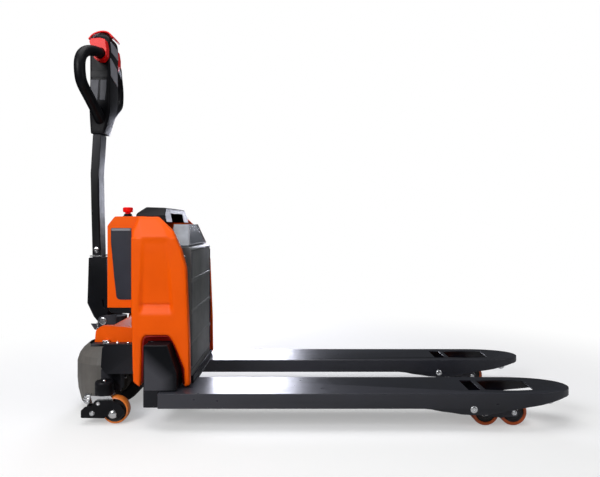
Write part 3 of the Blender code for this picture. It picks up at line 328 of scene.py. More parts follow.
def tube_mesh(points, radii, sides):
    """A round tube through points, with its own radius at each, and closed ends."""
    shape = bmesh.new()
    points = [Vector(point) for point in points]
    reference = Vector((1, 0, 0))
    rings = []
    for index, point in enumerate(points):
        along = (points[min(index + 1, len(points) - 1)] - points[max(index - 1, 0)]).normalized()
        across = reference - along * reference.dot(along)
        across.normalize()
        up = along.cross(across)
        rings.append([shape.verts.new(point + across * math.cos(a) * radii[index]
                                      + up * math.sin(a) * radii[index])
                      for a in (2 * math.pi * side / sides for side in range(sides))])
    for first, second in zip(rings, rings[1:]):
        for side in range(sides):
            after = (side + 1) % sides
            shape.faces.new((first[side], first[after], second[after], second[side]))
    shape.faces.new(rings[0][::-1])
    shape.faces.new(rings[-1])
    return shape


def smooth_path(points, steps=6):
    """A Catmull-Rom curve through points of any number of values."""
    points = [tuple(point) for point in points]
    first = tuple(2 * a - b for a, b in zip(points[0], points[1]))
    last = tuple(2 * a - b for a, b in zip(points[-1], points[-2]))
    ends = [first, *points, last]
    path = []
    for index in range(1, len(ends) - 2):
        a, b, c, d = ends[index - 1:index + 3]
        for step in range(steps):
            t = step / steps
            path.append(tuple((2 * q + (r - p) * t + (2 * p - 5 * q + 4 * r - s) * t ** 2
                               + (3 * q - p - 3 * r + s) * t ** 3) / 2 for p, q, r, s in zip(a, b, c, d)))
    path.append(points[-1])
    return path


def rounded(points, radius, steps=4):
    """An outline with rounded corners; a point's third value is its own radius."""
    outline = []
    for index, point in enumerate(points):
        own = point[2] if len(point) > 2 else radius
        corner = Vector(point[:2])
        back = Vector(points[index - 1][:2]) - corner
        ahead = Vector(points[(index + 1) % len(points)][:2]) - corner
        half = back.angle(ahead) / 2
        reach = min(own / math.tan(half), back.length * 0.48, ahead.length * 0.48)
        if own <= 0.0 or reach < 1e-6:
            outline.append(tuple(corner))
            continue
        start, end = corner + back.normalized() * reach, corner + ahead.normalized() * reach
        for step in range(steps + 1):
            t = step / steps
            outline.append(tuple(start * (1 - t) ** 2 + corner * 2 * t * (1 - t) + end * t ** 2))
    return outline


def refine(node, width, segments=2, finish=None):
    """A CAD node's own shape with real rounded edges, standing for that node."""
    shape = bmesh.new()
    shape.from_mesh(frame["nodes"][node].data)
    bmesh.ops.remove_doubles(shape, verts=shape.verts, dist=1e-5)
    bmesh.ops.dissolve_limit(shape, angle_limit=math.radians(0.6), verts=shape.verts, edges=shape.edges)
    made = place_piece(node + "_refined", shape, BODY_OF[node], finish or SLOT_OF[node],
                       bevel=width, segments=segments)
    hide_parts(node)
    return made


# ------------------------------------------------------------------ carried-over nodes
for node, slot in SLOT_OF.items():
    paint(frame["nodes"][node], slot)
    frame["nodes"][node].data.shade_smooth()
    frame["nodes"][node].data.set_sharp_from_angle(angle=math.radians(32))

EDGE_ROUNDING = {
    "fork_right": 0.0016, "fork_left": 0.0016, "bulkhead": 0.0012, "battery_tray": 0.0012,
    "rear_skirt": 0.0015, "top_hood": 0.0030, "battery_case": 0.0012, "drive_frame": 0.0030,
    "tiller_bracket": 0.0016,
}
OWN_FINISH = {"fork_right": "fork_paint", "fork_left": "fork_paint", "battery_case": "battery_grey"}
for node, width in EDGE_ROUNDING.items():
    refine(node, width, finish=OWN_FINISH.get(node))


def heel(side_name, side):
    """Steel upright that stands out through the arch, with rolled edges."""
    outline = rounded([(-0.4850, 0.1108), (-0.4850, 0.2445), (-0.4165, 0.2445), (-0.3888, 0.162),
                       (-0.3888, 0.1108)], 0.005, 5)
    made = side_prism("heel_rolled_" + side_name, side, outline, HEEL_INNER, HEEL_OUTER, "chassis",
                      "black_steel", 0.0030, segments=3)
    foot = rounded([(-0.4850, 0.064), (-0.4850, 0.118), (-0.4396, 0.118), (-0.4396, 0.064)], 0.003, 3)
    side_prism("heel_foot_" + side_name, side, foot, HEEL_INNER, HEEL_OUTER - 0.0004, "chassis",
               "black_steel", 0.0008)
    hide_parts("heel_" + side_name)


for side_name, side in SIDES.items():
    heel(side_name, side)


# ------------------------------------------------------------------ side panels
PANEL_OUTLINE = [
    (-0.5150, 0.617, 0.006), (-0.4540, 0.617, 0.012), (-0.4090, 0.574, 0.03),
    (-0.3840, 0.518, 0.03), (-0.3690, 0.464, 0.04), (-0.3600, 0.246, 0.0), (-0.3585, 0.118, 0.005),
    (-0.3740, 0.112, 0.004), (-0.3745, 0.164, 0.010), (-0.4030, 0.236, 0.014),
    (-0.4200, 0.2645, 0.016), (-0.4930, 0.2645, 0.014), (-0.4995, 0.246, 0.012),
    (-0.5026, 0.120, 0.004), (-0.5085, 0.112, 0.004), (-0.5262, 0.129, 0.006),
    (-0.5320, 0.335, 0.0), (-0.5322, 0.573, 0.008)]
EDGE_ROLL = 0.0065
LEDGE_Z = 0.3535


def ease(value, low, high):
    """0 below low, 1 above high, smooth between."""
    t = min(max((value - low) / (high - low), 0.0), 1.0)
    return t * t * (3 - 2 * t)


def between(value, low, high, low_at, high_at):
    """Straight line through (low_at, low) and (high_at, high), read at value."""
    return low + (high - low) * (value - low_at) / (high_at - low_at)


def edge_distance(x, z, outline):
    """How far a point is from the nearest edge of an outline, up to a metre."""
    best = 1.0
    for (ax, az), (bx, bz) in zip(outline, outline[1:] + outline[:1]):
        dx, dz = bx - ax, bz - az
        t = max(0.0, min(1.0, ((x - ax) * dx + (z - az) * dz) / max(dx * dx + dz * dz, 1e-12)))
        best = min(best, math.hypot(x - ax - dx * t, z - az - dz * t))
    return best


def panel_face(x, z, outline):
    """How far out the panel's face stands: sloping top, scooped middle over a ledge, rolled edges."""
    face = PANEL_FACE
    if z > 0.554:
        face = min(face, PANEL_FACE - 0.35 * (z - 0.557))
        left = between(z, -0.498, -0.520, 0.557, 0.617)
        right = between(z, -0.4225, -0.4520, 0.557, 0.617)
        face -= 0.20 * max(left - x, 0.0) + 0.22 * max(x - right, 0.0)
    scoop_left = between(z, -0.5085, -0.4985, 0.350, 0.557)
    scoop_right = between(z, -0.4100, -0.4225, 0.358, 0.557)
    inside_left = ease(x, scoop_left - 0.003, scoop_left + 0.010)
    inside_right = 1 - ease(x, scoop_right - 0.011, scoop_right + 0.005)
    across = inside_left * inside_right
    scoop = 0.0085 * (1 - 0.75 * ease(z, 0.368, 0.53)) * (1 - ease(z, 0.535, 0.560))
    groove = 0.0035 * ease(z, 0.349, 0.353) * (1 - ease(z, 0.356, 0.361))
    face -= across * (scoop * ease(z, 0.322, LEDGE_Z) + groove)
    near = edge_distance(x, z, outline)
    if near < EDGE_ROLL:
        face -= EDGE_ROLL - math.sqrt(max(EDGE_ROLL ** 2 - (EDGE_ROLL - near) ** 2, 0.0))
    return face


def side_panel(side_name, side):
    """Moulded cover with its scoop, ledge and sloping top, standing for the CAD panel."""
    outline = rounded(PANEL_OUTLINE, 0.0, 5)
    shape = bmesh.new()
    shape.faces.new([shape.verts.new((x, 0.0, z)) for x, z in outline])
    for axis, start, end, step in ((0, -0.534, -0.356, 0.0035), (2, 0.112, 0.619, 0.0040)):
        normal = (1, 0, 0) if axis == 0 else (0, 0, 1)
        place = start
        while place < end:
            spot = (place, 0, 0) if axis == 0 else (0, 0, place)
            bmesh.ops.bisect_plane(shape, geom=shape.verts[:] + shape.edges[:] + shape.faces[:], dist=1e-6,
                                   plane_co=spot, plane_no=normal)
            place += step
    for inset in (0.0007, 0.0022, 0.0045):
        bmesh.ops.inset_region(shape, faces=shape.faces[:], thickness=inset, depth=0.0, use_even_offset=True)
    rim = [edge for edge in shape.edges if edge.is_boundary]
    walls = bmesh.ops.extrude_edge_only(shape, edges=rim)["geom"]
    roots = {item for item in walls if isinstance(item, bmesh.types.BMVert)}
    for vert in shape.verts:
        if vert in roots:
            vert.co.y = side * PANEL_ROOT
        else:
            vert.co.y = side * max(panel_face(vert.co.x, vert.co.z, outline), PANEL_ROOT + 0.001)
    made = place_piece("side_panel_moulded_" + side_name, shape, "chassis", "orange_paint", angle=40)
    skin = made.modifiers.new("wall", "SOLIDIFY")
    skin.thickness = 0.0030
    skin.offset = -1.0
    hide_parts("side_panel_" + side_name)


def arch_lip(side_name, side):
    """Inner lip of the arch, falling in a quarter turn from the panel's edge to the steel heel, in orange
    paint darkened to deep red as painted shade.
    """
    steps, start_depth, fall = 4, 0.0040, 0.0165
    outer = [(-0.5005, 0.124), (-0.4990, 0.190), (-0.4975, 0.244), (-0.4945, 0.257), (-0.4880, 0.2635),
             (-0.4560, 0.2635), (-0.4240, 0.2635), (-0.4155, 0.258), (-0.4045, 0.238), (-0.3885, 0.200),
             (-0.3752, 0.166), (-0.3750, 0.120)]
    inner = [(-0.4870, 0.126), (-0.4868, 0.190), (-0.4866, 0.238), (-0.4862, 0.2445), (-0.4820, 0.2460),
             (-0.4520, 0.2460), (-0.4220, 0.2460), (-0.4150, 0.2440), (-0.4090, 0.230), (-0.3985, 0.196),
             (-0.3866, 0.163), (-0.3862, 0.124)]
    shape = bmesh.new()
    rows = []
    for step in range(steps + 1):
        t = step / steps
        deep = PANEL_FACE - start_depth - fall * math.sin(t * math.pi / 2)
        rows.append([shape.verts.new((a[0] + (b[0] - a[0]) * t, side * deep, a[1] + (b[1] - a[1]) * t))
                     for a, b in zip(outer, inner)])
    for first, second in zip(rows, rows[1:]):
        for index in range(len(first) - 1):
            shape.faces.new((first[index], first[index + 1], second[index + 1], second[index]))
    # The lip wears the deep red of painted shade.
    made = place_piece("arch_lip_" + side_name, shape, "chassis", "dark_red_shade")
    skin = made.modifiers.new("wall", "SOLIDIFY")
    skin.thickness = 0.0020
    skin.offset = 0.0


# ------------------------------------------------------------------ operator-side cover
def rear_cover_details():
    for side_name, side in SIDES.items():
        outline = rounded([(-0.5995, 0.5830, 0.004), (-0.5380, 0.5830, 0.002), (-0.5380, 0.3680, 0.002),
                           (-0.5820, 0.3680, 0.014), (-0.5900, 0.4400, 0.02), (-0.5990, 0.5400, 0.02)], 0.004)
        side_prism("rear_inset_" + side_name, side, outline, 0.1990, 0.2014, "chassis",
                   "charcoal_plastic", 0.0008)
        # Soft grey strip along the inset's top edge: a painted highlight.
        highlight_strip = rounded([(-0.5975, 0.5815), (-0.5395, 0.5815), (-0.5395, 0.5745), (-0.5970, 0.5745)], 0.002)
        side_prism("rear_inset_ridge_" + side_name, side, highlight_strip, 0.2008, 0.2026, "chassis",
                   "soft_grey", 0.0007)
    face = rounded([(-0.150, 0.372), (0.150, 0.372), (0.160, 0.560), (-0.160, 0.560)], 0.012)
    prism("rear_face_inset", face, -0.6114, -0.6095, "YZ", "chassis", "charcoal_plastic", 0.0008)
    for index in range(6):
        z = 0.402 + 0.017 * index
        rib = rounded([(-0.090, z), (0.090, z), (0.090, z + 0.006), (-0.090, z + 0.006)], 0.0028)
        prism(f"rear_louvre_{index}", rib, -0.6136, -0.6108, "YZ", "chassis", "black_plastic", 0.0009)
    for y in (-0.182, 0.182):
        for z in (0.372, 0.556):
            bolt(f"rear_screw_{'r' if y < 0 else 'l'}_{int(z * 1000)}", (-0.6098, y, z), "X", 0.0045, 0.0026,
                 "chassis", -1, "black_steel")


def estop_and_key():
    x, y, _ = centre_of("estop_button")
    collar = [(0.0098, 0.0002), (0.0150, 0.0002), (0.0150, 0.0022), (0.0118, 0.0034), (0.0118, 0.0082),
              (0.0098, 0.0086)]
    lathe("estop_collar", collar, (x, y, COVER_TOP), "Z", "chassis", "black_plastic", 36)
    cap = [(0.0, 0.0290), (0.0100, 0.0288), (0.0135, 0.0280), (0.0150, 0.0262), (0.0152, 0.0200),
           (0.0146, 0.0150), (0.0132, 0.0136), (0.0110, 0.0130), (0.0086, 0.0128), (0.0086, 0.0054),
           (0.0, 0.0054)]
    made = lathe("estop_mushroom", cap, (x, y, COVER_TOP), "Z", "estop", "red_plastic", 40)
    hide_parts("estop_button")
    lathe("key_barrel", [(0.0056, 0.0002), (0.0120, 0.0002), (0.0120, 0.0022), (0.0095, 0.0036),
                         (0.0056, 0.0036)], (-0.566, 0.120, COVER_TOP), "Z", "chassis", "bright_steel", 32)


# ------------------------------------------------------------------ tiller
# z, back x, front x, half width and corner radius of the control head, from its neck up
HEAD_SECTIONS = [
    (0.8960, -0.7250, -0.6825, 0.0295, 0.0050), (0.9000, -0.7266, -0.6800, 0.0312, 0.0070),
    (0.9300, -0.7285, -0.6715, 0.0325, 0.0080), (0.9600, -0.7290, -0.6630, 0.0362, 0.0090),
    (0.9850, -0.7278, -0.6600, 0.0415, 0.0100), (1.0100, -0.7258, -0.6588, 0.0445, 0.0100),
    (1.0600, -0.7238, -0.6584, 0.0450, 0.0090), (1.1100, -0.7236, -0.6582, 0.0450, 0.0080),
    (1.1600, -0.7236, -0.6575, 0.0450, 0.0080), (1.1850, -0.7230, -0.6568, 0.0446, 0.0090),
    (1.2030, -0.7190, -0.6580, 0.0430, 0.0100), (1.2140, -0.7110, -0.6618, 0.0405, 0.0100),
    (1.2215, -0.7010, -0.6700, 0.0365, 0.0090), (1.2245, -0.6900, -0.6780, 0.0310, 0.0040)]


def tiller_head():
    """Moulded control head, lofted from the neck to the crown."""
    sections = smooth_path(HEAD_SECTIONS, 3)
    shape = bmesh.new()
    rings = []
    for z, back, front, half, corner in sections:
        reach = min(corner, (front - back) / 2.2)
        outline = rounded([(back, -half), (front, -half), (front, half), (back, half)], reach, 4)
        rings.append([shape.verts.new((x, y, z)) for x, y in outline])
    for first, second in zip(rings, rings[1:]):
        for index in range(len(first)):
            after = (index + 1) % len(first)
            shape.faces.new((first[index], first[after], second[after], second[index]))
    shape.faces.new(rings[0][::-1])
    shape.faces.new(rings[-1])
    made = place_piece("tiller_head_moulded", shape, "tiller", "black_plastic", angle=30)
    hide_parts("tiller_head")


def head_details():
    for side_name, side in SIDES.items():
        for index, (x0, x1, x2, x3) in enumerate(((-0.7215, -0.6920, -0.6965, -0.7165),
                                                  (-0.6880, -0.6660, -0.6720, -0.6905))):
            outline = rounded([(x0, 1.0700), (x1, 1.0700), (x2, 1.0020), (x3, 1.0020)], 0.004)
            side_prism(f"head_facet_{side_name}_{index}", side, outline, 0.0432, 0.0464, "tiller",
                       "charcoal_plastic", 0.0012)
        band = rounded([(-0.7180, 1.1000), (-0.6640, 1.1000), (-0.6640, 1.0780), (-0.7195, 1.0780)], 0.003)
        side_prism("head_band_" + side_name, side, band, 0.0432, 0.0458, "tiller", "black_plastic", 0.0010)
    upper = rounded([(-0.0380, 1.1990), (0.0320, 1.1900), (0.0380, 1.1560), (-0.0300, 1.1640)], 0.004)
    lower = rounded([(-0.0400, 1.1450), (0.0260, 1.1220), (0.0340, 1.0640), (-0.0340, 1.0860)], 0.004)
    for name, outline in (("upper", upper), ("lower", lower)):
        prism("head_patch_" + name, outline, -0.6590, -0.6560, "YZ", "tiller", "soft_grey", 0.0008)
    gauge = rounded([(-0.020, 1.198), (0.020, 1.198), (0.020, 1.180), (-0.020, 1.180)], 0.003)
    prism("head_gauge", gauge, -0.7252, -0.7222, "YZ", "tiller", "display", 0.0006)
    for y, z, label in ((-0.022, 1.160, "lift"), (0.022, 1.160, "lower"), (0.0, 1.110, "horn")):
        lathe(f"{label}_bezel", [(0.0092, 0.0), (0.0122, 0.0), (0.0118, 0.0020), (0.0098, 0.0028),
                                 (0.0092, 0.0024)], (-0.7232, y, z), "X", "tiller", "black_plastic", 32, -1)


def grips():
    for side_name, side in SIDES.items():
        route = [(-0.6800, 0.0450, 1.1490, 0.0158), (-0.6800, 0.0620, 1.1490, 0.0160),
                 (-0.6805, 0.0800, 1.1490, 0.0163), (-0.6870, 0.1150, 1.1430, 0.0165),
                 (-0.6955, 0.1450, 1.1320, 0.0166), (-0.7005, 0.1680, 1.1120, 0.0168),
                 (-0.7018, 0.1790, 1.0850, 0.0170), (-0.7012, 0.1765, 1.0500, 0.0170),
                 (-0.7000, 0.1620, 1.0250, 0.0170), (-0.6980, 0.1100, 0.9940, 0.0172),
                 (-0.6960, 0.0616, 0.9650, 0.0176), (-0.6955, 0.0350, 0.9480, 0.0180),
                 (-0.6955, 0.0220, 0.9400, 0.0180)]
        path = smooth_path([(x, side * y, z, r) for x, y, z, r in route], 4)
        shape = tube_mesh([point[:3] for point in path], [point[3] for point in path], 24)
        made = place_piece("grip_moulded_" + side_name, shape, "tiller", "black_plastic", angle=50)
        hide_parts("grip_" + side_name)


def tiller_details():
    for side_name, side in SIDES.items():
        bolt("tube_bolt_" + side_name, (-0.7075, side * 0.0272, 0.5090), "Y", 0.0094, 0.0052, "tiller", side)
        strip = rounded([(-0.7290, 0.4915), (-0.6900, 0.4915), (-0.6900, 0.4870), (-0.7290, 0.4870)], 0.0008)
        side_prism("tube_strip_" + side_name, side, strip, 0.0270, 0.0290, "tiller", "bright_steel", 0.0005)
        ring = [(0.0058, 0.0000), (0.0118, 0.0000), (0.0118, 0.0014), (0.0104, 0.0020), (0.0058, 0.0020)]
        lathe("pivot_washer_" + side_name, ring, (TILLER_PIVOT[0], side * 0.0336, TILLER_PIVOT[2]), "Y",
              "steering_head", "zinc_plate", 32, side)
    turns, steps, coil, height, wire = 6, 96, 0.0024, 0.0220, 0.0008
    spring = []
    for step in range(steps + 1):
        angle = step / steps * 2 * math.pi * turns
        spring.append((-0.7000 + coil * math.cos(angle), coil * math.sin(angle) - 0.0370,
                       0.2500 + height * step / steps))
    shape = tube_mesh(spring, [wire] * len(spring), 8)
    place_piece("return_spring", shape, "steering_head", "zinc_plate", angle=60)


# ------------------------------------------------------------------ forks and rollers
def fork_details():
    for side_name, side in SIDES.items():
        y = side * FORK_Y
        for sign in (-1, 1):
            where = "out" if sign == side else "in"
            bolt(f"fork_pivot_{side_name}_{where}", (0.465, y + sign * 0.0856, 0.065), "Y", 0.0100, 0.0030,
                 "chassis", sign)
            for name in ("rear", "front"):
                x, _, z = centre_of(f"{name}_roller_{side_name}")
                bolt(f"{name}_axle_{side_name}_{where}", (x, y + sign * 0.0404, z), "Y", 0.0078, 0.0038,
                     "bogie_" + side_name, sign)


def wheel(node, tread_in, tread_finish):
    """A wheel with a moulded tread, a dished hub and two bearings, standing for one CAD wheel."""
    body, centre = BODY_OF[node], centre_of(node)
    low, high = corners_of(node)
    w, r = (round((high[axis] - low[axis]) / 2, 6) for axis in (1, 2))
    tread = [(tread_in, w - 0.0030), (tread_in + 0.0016, w - 0.0008), (r - 0.0050, w),
             (r - 0.0018, w - 0.0012), (r, w - 0.0048), (r, -w + 0.0048), (r - 0.0018, -w + 0.0012),
             (r - 0.0050, -w), (tread_in + 0.0016, -w + 0.0008), (tread_in, -w + 0.0030)]
    ring = lathe(node + "_tread", tread, centre, "Y", body, tread_finish, 48)
    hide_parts(node)
    bore = 0.0084 if w > 0.02 else 0.0066
    hub = [(bore + 0.0065, w - 0.0020), (tread_in * 0.66, w - 0.0024), (tread_in * 0.72, w - 0.0052),
           (tread_in * 0.90, w - 0.0050), (tread_in - 0.0002, w - 0.0026), (tread_in - 0.0002, -w + 0.0026),
           (tread_in * 0.90, -w + 0.0050), (tread_in * 0.72, -w + 0.0052), (tread_in * 0.66, -w + 0.0024),
           (bore + 0.0065, -w + 0.0020)]
    lathe(node + "_hub", hub, centre, "Y", body, "hub", 40)
    for sign in (-1, 1):
        race = [(bore, 0.0), (bore + 0.0063, 0.0), (bore + 0.0063, 0.0050), (bore + 0.0040, 0.0056),
                (bore + 0.0020, 0.0048), (bore, 0.0054)]
        lathe(f"{node}_bearing_{'a' if sign < 0 else 'b'}", race,
              (centre[0], centre[1] + sign * (w - 0.0075), centre[2]), "Y", body, "bright_steel", 32, sign)


def wheels():
    for side_name in SIDES:
        wheel("rear_roller_" + side_name, 0.0300, "polyurethane")
        wheel("front_roller_" + side_name, 0.0300, "polyurethane")
        wheel("caster_wheel_" + side_name, 0.0340, "tread")


# ------------------------------------------------------------------ casters
def caster_details():
    for side_name, side in SIDES.items():
        x, y = CASTER_POST[0], side * CASTER_POST[1]
        body = "caster_" + side_name
        cup = [(0.0, 0.1236), (0.0080, 0.1236), (0.0100, 0.1250), (0.0215, 0.1256), (0.0252, 0.1244),
               (0.0272, 0.1212), (0.0275, 0.1150), (0.0266, 0.1110), (0.0275, 0.1075), (0.0275, 0.0890),
               (0.0262, 0.0856), (0.0, 0.0856)]
        made = lathe("caster_cup_" + side_name, cup, (x, y, 0.0), "Z", "drive_base", "black_plastic", 48)
        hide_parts("caster_housing_" + side_name)
        bolt("cup_bolt_" + side_name, (x, y, 0.1238), "Z", 0.0065, 0.0045, "drive_base")
        for sign in (-1, 1):
            where = "out" if sign == side else "in"
            bolt(f"guard_bolt_top_{side_name}_{where}", (-0.629, y + sign * 0.0248, 0.0640), "Y", 0.0058,
                 0.0034, body, sign)
            bolt(f"guard_bolt_low_{side_name}_{where}", (-0.647, y + sign * 0.0248, 0.0350), "Y", 0.0074,
                 0.0042, body, sign)
            dome = [(0.0, 0.0072), (0.0040, 0.0068), (0.0080, 0.0052), (0.0105, 0.0030), (0.0120, 0.0016),
                    (0.0135, 0.0012), (0.0135, 0.0), (0.0, 0.0)]
            lathe(f"axle_nut_{side_name}_{where}", dome, (-0.5860, y + sign * 0.0226, 0.0330), "Y", body,
                  "zinc_plate", 28, sign)
        stack = [(0.0, 0.0560), (0.0085, 0.0560), (0.0085, 0.0600), (0.0140, 0.0604), (0.0145, 0.0652),
                 (0.0105, 0.0662), (0.0105, 0.0692), (0.0140, 0.0700), (0.0145, 0.0744), (0.0120, 0.0760),
                 (0.0120, 0.0810), (0.0095, 0.0842), (0.0054, 0.0856), (0.0, 0.0860)]
        lathe("adjuster_" + side_name, stack, (-0.6665, y, 0.0), "Z", body, "zinc_plate", 24, angle=25)


# ------------------------------------------------------------------ battery
def battery_details():
    x_face = -0.3635
    for name, z in (("lid", 0.5120), ("foot", 0.1480)):
        seam = [(-0.1712, z), (0.1712, z), (0.1712, z + 0.0012), (-0.1712, z + 0.0012)]
        prism(f"battery_{name}_seam", seam, x_face - 0.0004, x_face + 0.0007, "YZ", "battery",
              "black_plastic", 0.0003)
    for side_name, side in SIDES.items():
        rail = [(side * 0.1640, 0.1600), (side * 0.1690, 0.1600), (side * 0.1690, 0.5050),
                (side * 0.1640, 0.5050)]
        prism("battery_corner_" + side_name, rail, x_face - 0.001, x_face + 0.0018, "YZ", "battery",
              "charcoal_plastic", 0.0008)
        latch = rounded([(-0.4080, 0.5000), (-0.3820, 0.5000), (-0.3820, 0.4840), (-0.4080, 0.4840)], 0.003)
        side_prism("battery_latch_" + side_name, side, latch, 0.1706, 0.1756, "battery",
                   "bright_steel", 0.0012)
    handle = smooth_path([(-0.4150, -0.0560, 0.5290), (-0.4150, -0.0540, 0.5520), (-0.4150, -0.0380, 0.5740),
                          (-0.4150, 0.0, 0.5790), (-0.4150, 0.0380, 0.5740), (-0.4150, 0.0540, 0.5520),
                          (-0.4150, 0.0560, 0.5290)], 6)
    shape = tube_mesh(handle, [0.0052] * len(handle), 16)
    place_piece("battery_handle", shape, "battery", "black_plastic", angle=50)
    block("battery_connector", (-0.4330, -0.1050, 0.5258), (-0.4050, -0.0720, 0.5560), "battery",
          "charcoal_plastic", 0.0024)
    block("battery_connector_cap", (-0.4300, -0.1010, 0.5562), (-0.4080, -0.0760, 0.5630), "battery",
          "yellow", 0.0016)
    block("battery_fuse_box", (-0.4330, 0.0720, 0.5258), (-0.3980, 0.1150, 0.5480), "battery",
          "black_plastic", 0.0024)
    # Soft grey tubes along the clear cover's sloping and front edges: the cover's greyish edges, lightened
    # with painted highlight.
    frame_y, top_y = 0.1440, 0.0750
    for side_name, side in SIDES.items():
        edge = [(-0.3748, side * frame_y, 0.5310), (-0.3912, side * top_y, 0.5938)]
        shape = tube_mesh(smooth_path(edge, 4), [0.0019] * 5, 10)
        place_piece("cover_edge_painted_highlight_" + side_name, shape, "battery_lid", "soft_grey", 50)
    shape = tube_mesh([(-0.3746, -frame_y, 0.5304), (-0.3746, 0.0, 0.5304), (-0.3746, frame_y, 0.5304)],
                      [0.0019] * 3, 10)
    place_piece("cover_rim_front_painted_highlight", shape, "battery_lid", "soft_grey", 50)


# ------------------------------------------------------------------ drive unit
def drive_details():
    for side_name, side in SIDES.items():
        for index, x in enumerate((-0.612, -0.585, -0.552)):
            bolt(f"frame_bolt_{side_name}_{index}", (x, side * 0.1830, 0.2338), "Z", 0.0062, 0.0048,
                 "drive_base")
        lug = rounded([(-0.6300, 0.2420), (-0.6120, 0.2420), (-0.6120, 0.2345), (-0.6300, 0.2345)], 0.002)
        side_prism("frame_lug_" + side_name, side, lug, 0.1720, 0.1860, "drive_base", "zinc_plate", 0.0010)
    x, _, z = DRIVE_AXLE
    gearbox_y = corners_of("gearbox")[0][1]
    bolts, bolt_circle = 8, 0.058
    for index in range(bolts):
        angle = 2 * math.pi * index / bolts
        place = (x + bolt_circle * math.cos(angle), gearbox_y, z + bolt_circle * math.sin(angle))
        bolt(f"gear_bolt_{index}", place, "Y", 0.0048, 0.0034, "steering_head", -1, "bright_steel")
    lathe("gear_boss", [(0.0, 0.0070), (0.0160, 0.0070), (0.0200, 0.0050), (0.0330, 0.0040), (0.0360, 0.0),
                        (0.0, 0.0)], (x, gearbox_y, z), "Y", "steering_head", "cast_iron", 40, -1)
    for index in range(5):
        ring = [(0.0602, 0.0), (0.0626, 0.0008), (0.0626, 0.0028), (0.0602, 0.0036)]
        lathe(f"motor_fin_{index}", ring, (x, 0.0540 + index * 0.0088, z), "Y", "steering_head",
              "motor_black", 48)


# ------------------------------------------------------------------ build
for name, sign in SIDES.items():
    side_panel(name, sign)
    arch_lip(name, sign)
rear_cover_details()
estop_and_key()
tiller_head()
head_details()
grips()
tiller_details()
fork_details()
wheels()
caster_details()
battery_details()
drive_details()
for node in ("throttle_right", "throttle_left"):
    refine(node, 0.0030, 3)
refine("belly_button", 0.0018, 3)
for node in ("caster_guard_right", "caster_guard_left"):
    refine(node, 0.0012)


# ------------------------------------------------------------------ camera and light
def camera():
    lens = bpy.data.cameras.new("photo_view")
    lens.lens = 32.46
    lens.sensor_width = 36.0
    lens.shift_x = 0.0023
    lens.shift_y = -0.0225
    made = bpy.data.objects.new("photo_view", lens)
    made.location = (-0.036, -1.824, 0.592)
    made.rotation_euler = (math.pi / 2, 0.0, 0.0)
    bpy.context.scene.collection.objects.link(made)
    bpy.context.scene.camera = made


def softbox(name, place, target, size, power, colour=(1.0, 1.0, 1.0)):
    light = bpy.data.lights.new(name, "AREA")
    light.shape = "RECTANGLE"
    light.size, light.size_y = size
    light.energy = power
    light.color = colour
    made = bpy.data.objects.new(name, light)
    made.location = place
    made.rotation_euler = (Vector(target) - Vector(place)).to_track_quat("-Z", "Y").to_euler()
    bpy.context.scene.collection.objects.link(made)
    return made


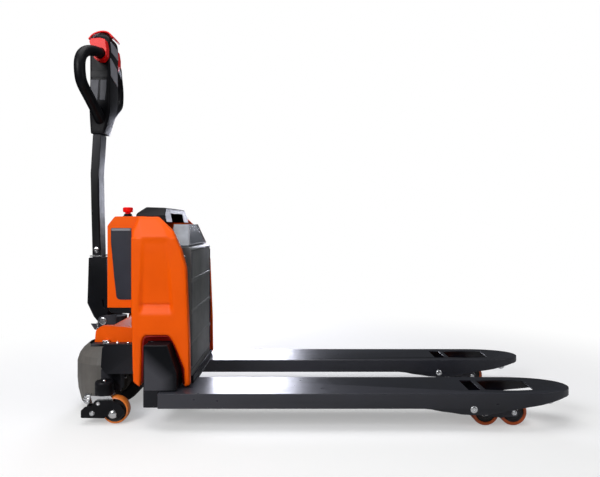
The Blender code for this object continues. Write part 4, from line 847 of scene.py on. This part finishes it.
def floor():
    """Pale floor that runs out into the background; its glow is seen but doesn't light the truck."""
    shape = bmesh.new()
    bmesh.ops.create_grid(shape, x_segments=8, y_segments=8, size=14.0)
    mesh = bpy.data.meshes.new("studio_floor")
    shape.to_mesh(mesh)
    shape.free()
    made = bpy.data.objects.new("studio_floor", mesh)
    made.location = (0.0, 0.0, -0.0004)
    bpy.context.scene.collection.objects.link(made)
    surface, tree, shader = new_shader("studio_floor")
    shader.inputs["Base Color"].default_value = (0.62, 0.62, 0.62, 1.0)
    shader.inputs["Roughness"].default_value = 0.80
    far_glow = add_node(tree, "ShaderNodeEmission", Color=(1.0, 1.0, 1.0, 1.0))
    place = add_node(tree, "ShaderNodeTexCoord")
    reach = add_node(tree, "ShaderNodeVectorMath", operation="LENGTH")
    spread = add_node(tree, "ShaderNodeMapRange", interpolation_type="SMOOTHSTEP")
    spread.inputs["From Min"].default_value = 0.75
    spread.inputs["From Max"].default_value = 1.9
    blend = add_node(tree, "ShaderNodeMixShader")
    tree.links.new(place.outputs["Object"], reach.inputs[0])
    tree.links.new(reach.outputs["Value"], spread.inputs["Value"])
    tree.links.new(spread.outputs["Result"], blend.inputs["Fac"])
    near_glow = add_node(tree, "ShaderNodeEmission", Color=(1.0, 1.0, 1.0, 1.0))
    seen = add_node(tree, "ShaderNodeLightPath")
    share = add_node(tree, "ShaderNodeMath", operation="MULTIPLY")
    share.inputs[1].default_value = 0.36
    tree.links.new(seen.outputs["Is Camera Ray"], share.inputs[0])
    tree.links.new(share.outputs["Value"], near_glow.inputs["Strength"])
    tree.links.new(seen.outputs["Is Camera Ray"], far_glow.inputs["Strength"])
    both = add_node(tree, "ShaderNodeAddShader")
    tree.links.new(shader.outputs["BSDF"], both.inputs[0])
    tree.links.new(near_glow.outputs["Emission"], both.inputs[1])
    tree.links.new(both.outputs["Shader"], blend.inputs[1])
    tree.links.new(far_glow.outputs["Emission"], blend.inputs[2])
    tree.links.new(blend.outputs["Shader"], tree.nodes["Material Output"].inputs["Surface"])
    mesh.materials.append(surface)


def studio():
    """White background that is seen, a dimmer sky that lights, and four soft lights."""
    world = bpy.data.worlds.new("studio")
    bpy.context.scene.world = world
    world.use_nodes = True
    tree = world.node_tree
    tree.nodes["Background"].inputs["Color"].default_value = (0.62, 0.64, 0.68, 1.0)
    tree.nodes["Background"].inputs["Strength"].default_value = 0.16
    white = add_node(tree, "ShaderNodeBackground", Color=(1.0, 1.0, 1.0, 1.0), Strength=1.0)
    path = add_node(tree, "ShaderNodeLightPath")
    choose = add_node(tree, "ShaderNodeMixShader")
    tree.links.new(path.outputs["Is Camera Ray"], choose.inputs["Fac"])
    tree.links.new(tree.nodes["Background"].outputs["Background"], choose.inputs[1])
    tree.links.new(white.outputs["Background"], choose.inputs[2])
    tree.links.new(choose.outputs["Shader"], tree.nodes["World Output"].inputs["Surface"])
    softbox("key_overhead", (-0.3, -0.4, 2.9), (0.0, 0.0, 0.2), (2.4, 1.8), 46.0)
    softbox("key_front_left", (-1.7, -2.6, 1.9), (-0.45, 0.0, 0.4), (1.3, 1.3), 64.0)
    softbox("side_fork_end", (2.3, -1.1, 1.2), (-0.5, 0.0, 0.4), (1.0, 1.2), 9.0)
    softbox("back_glare", (-0.66, 2.6, 0.84), (-0.45, 0.0, 0.11), (1.1, 0.26), 38.0, (0.84, 0.86, 1.0))
    bpy.context.scene.view_settings.view_transform = "Standard"
    bpy.context.scene.view_settings.look = "None"


camera()
floor()
studio()
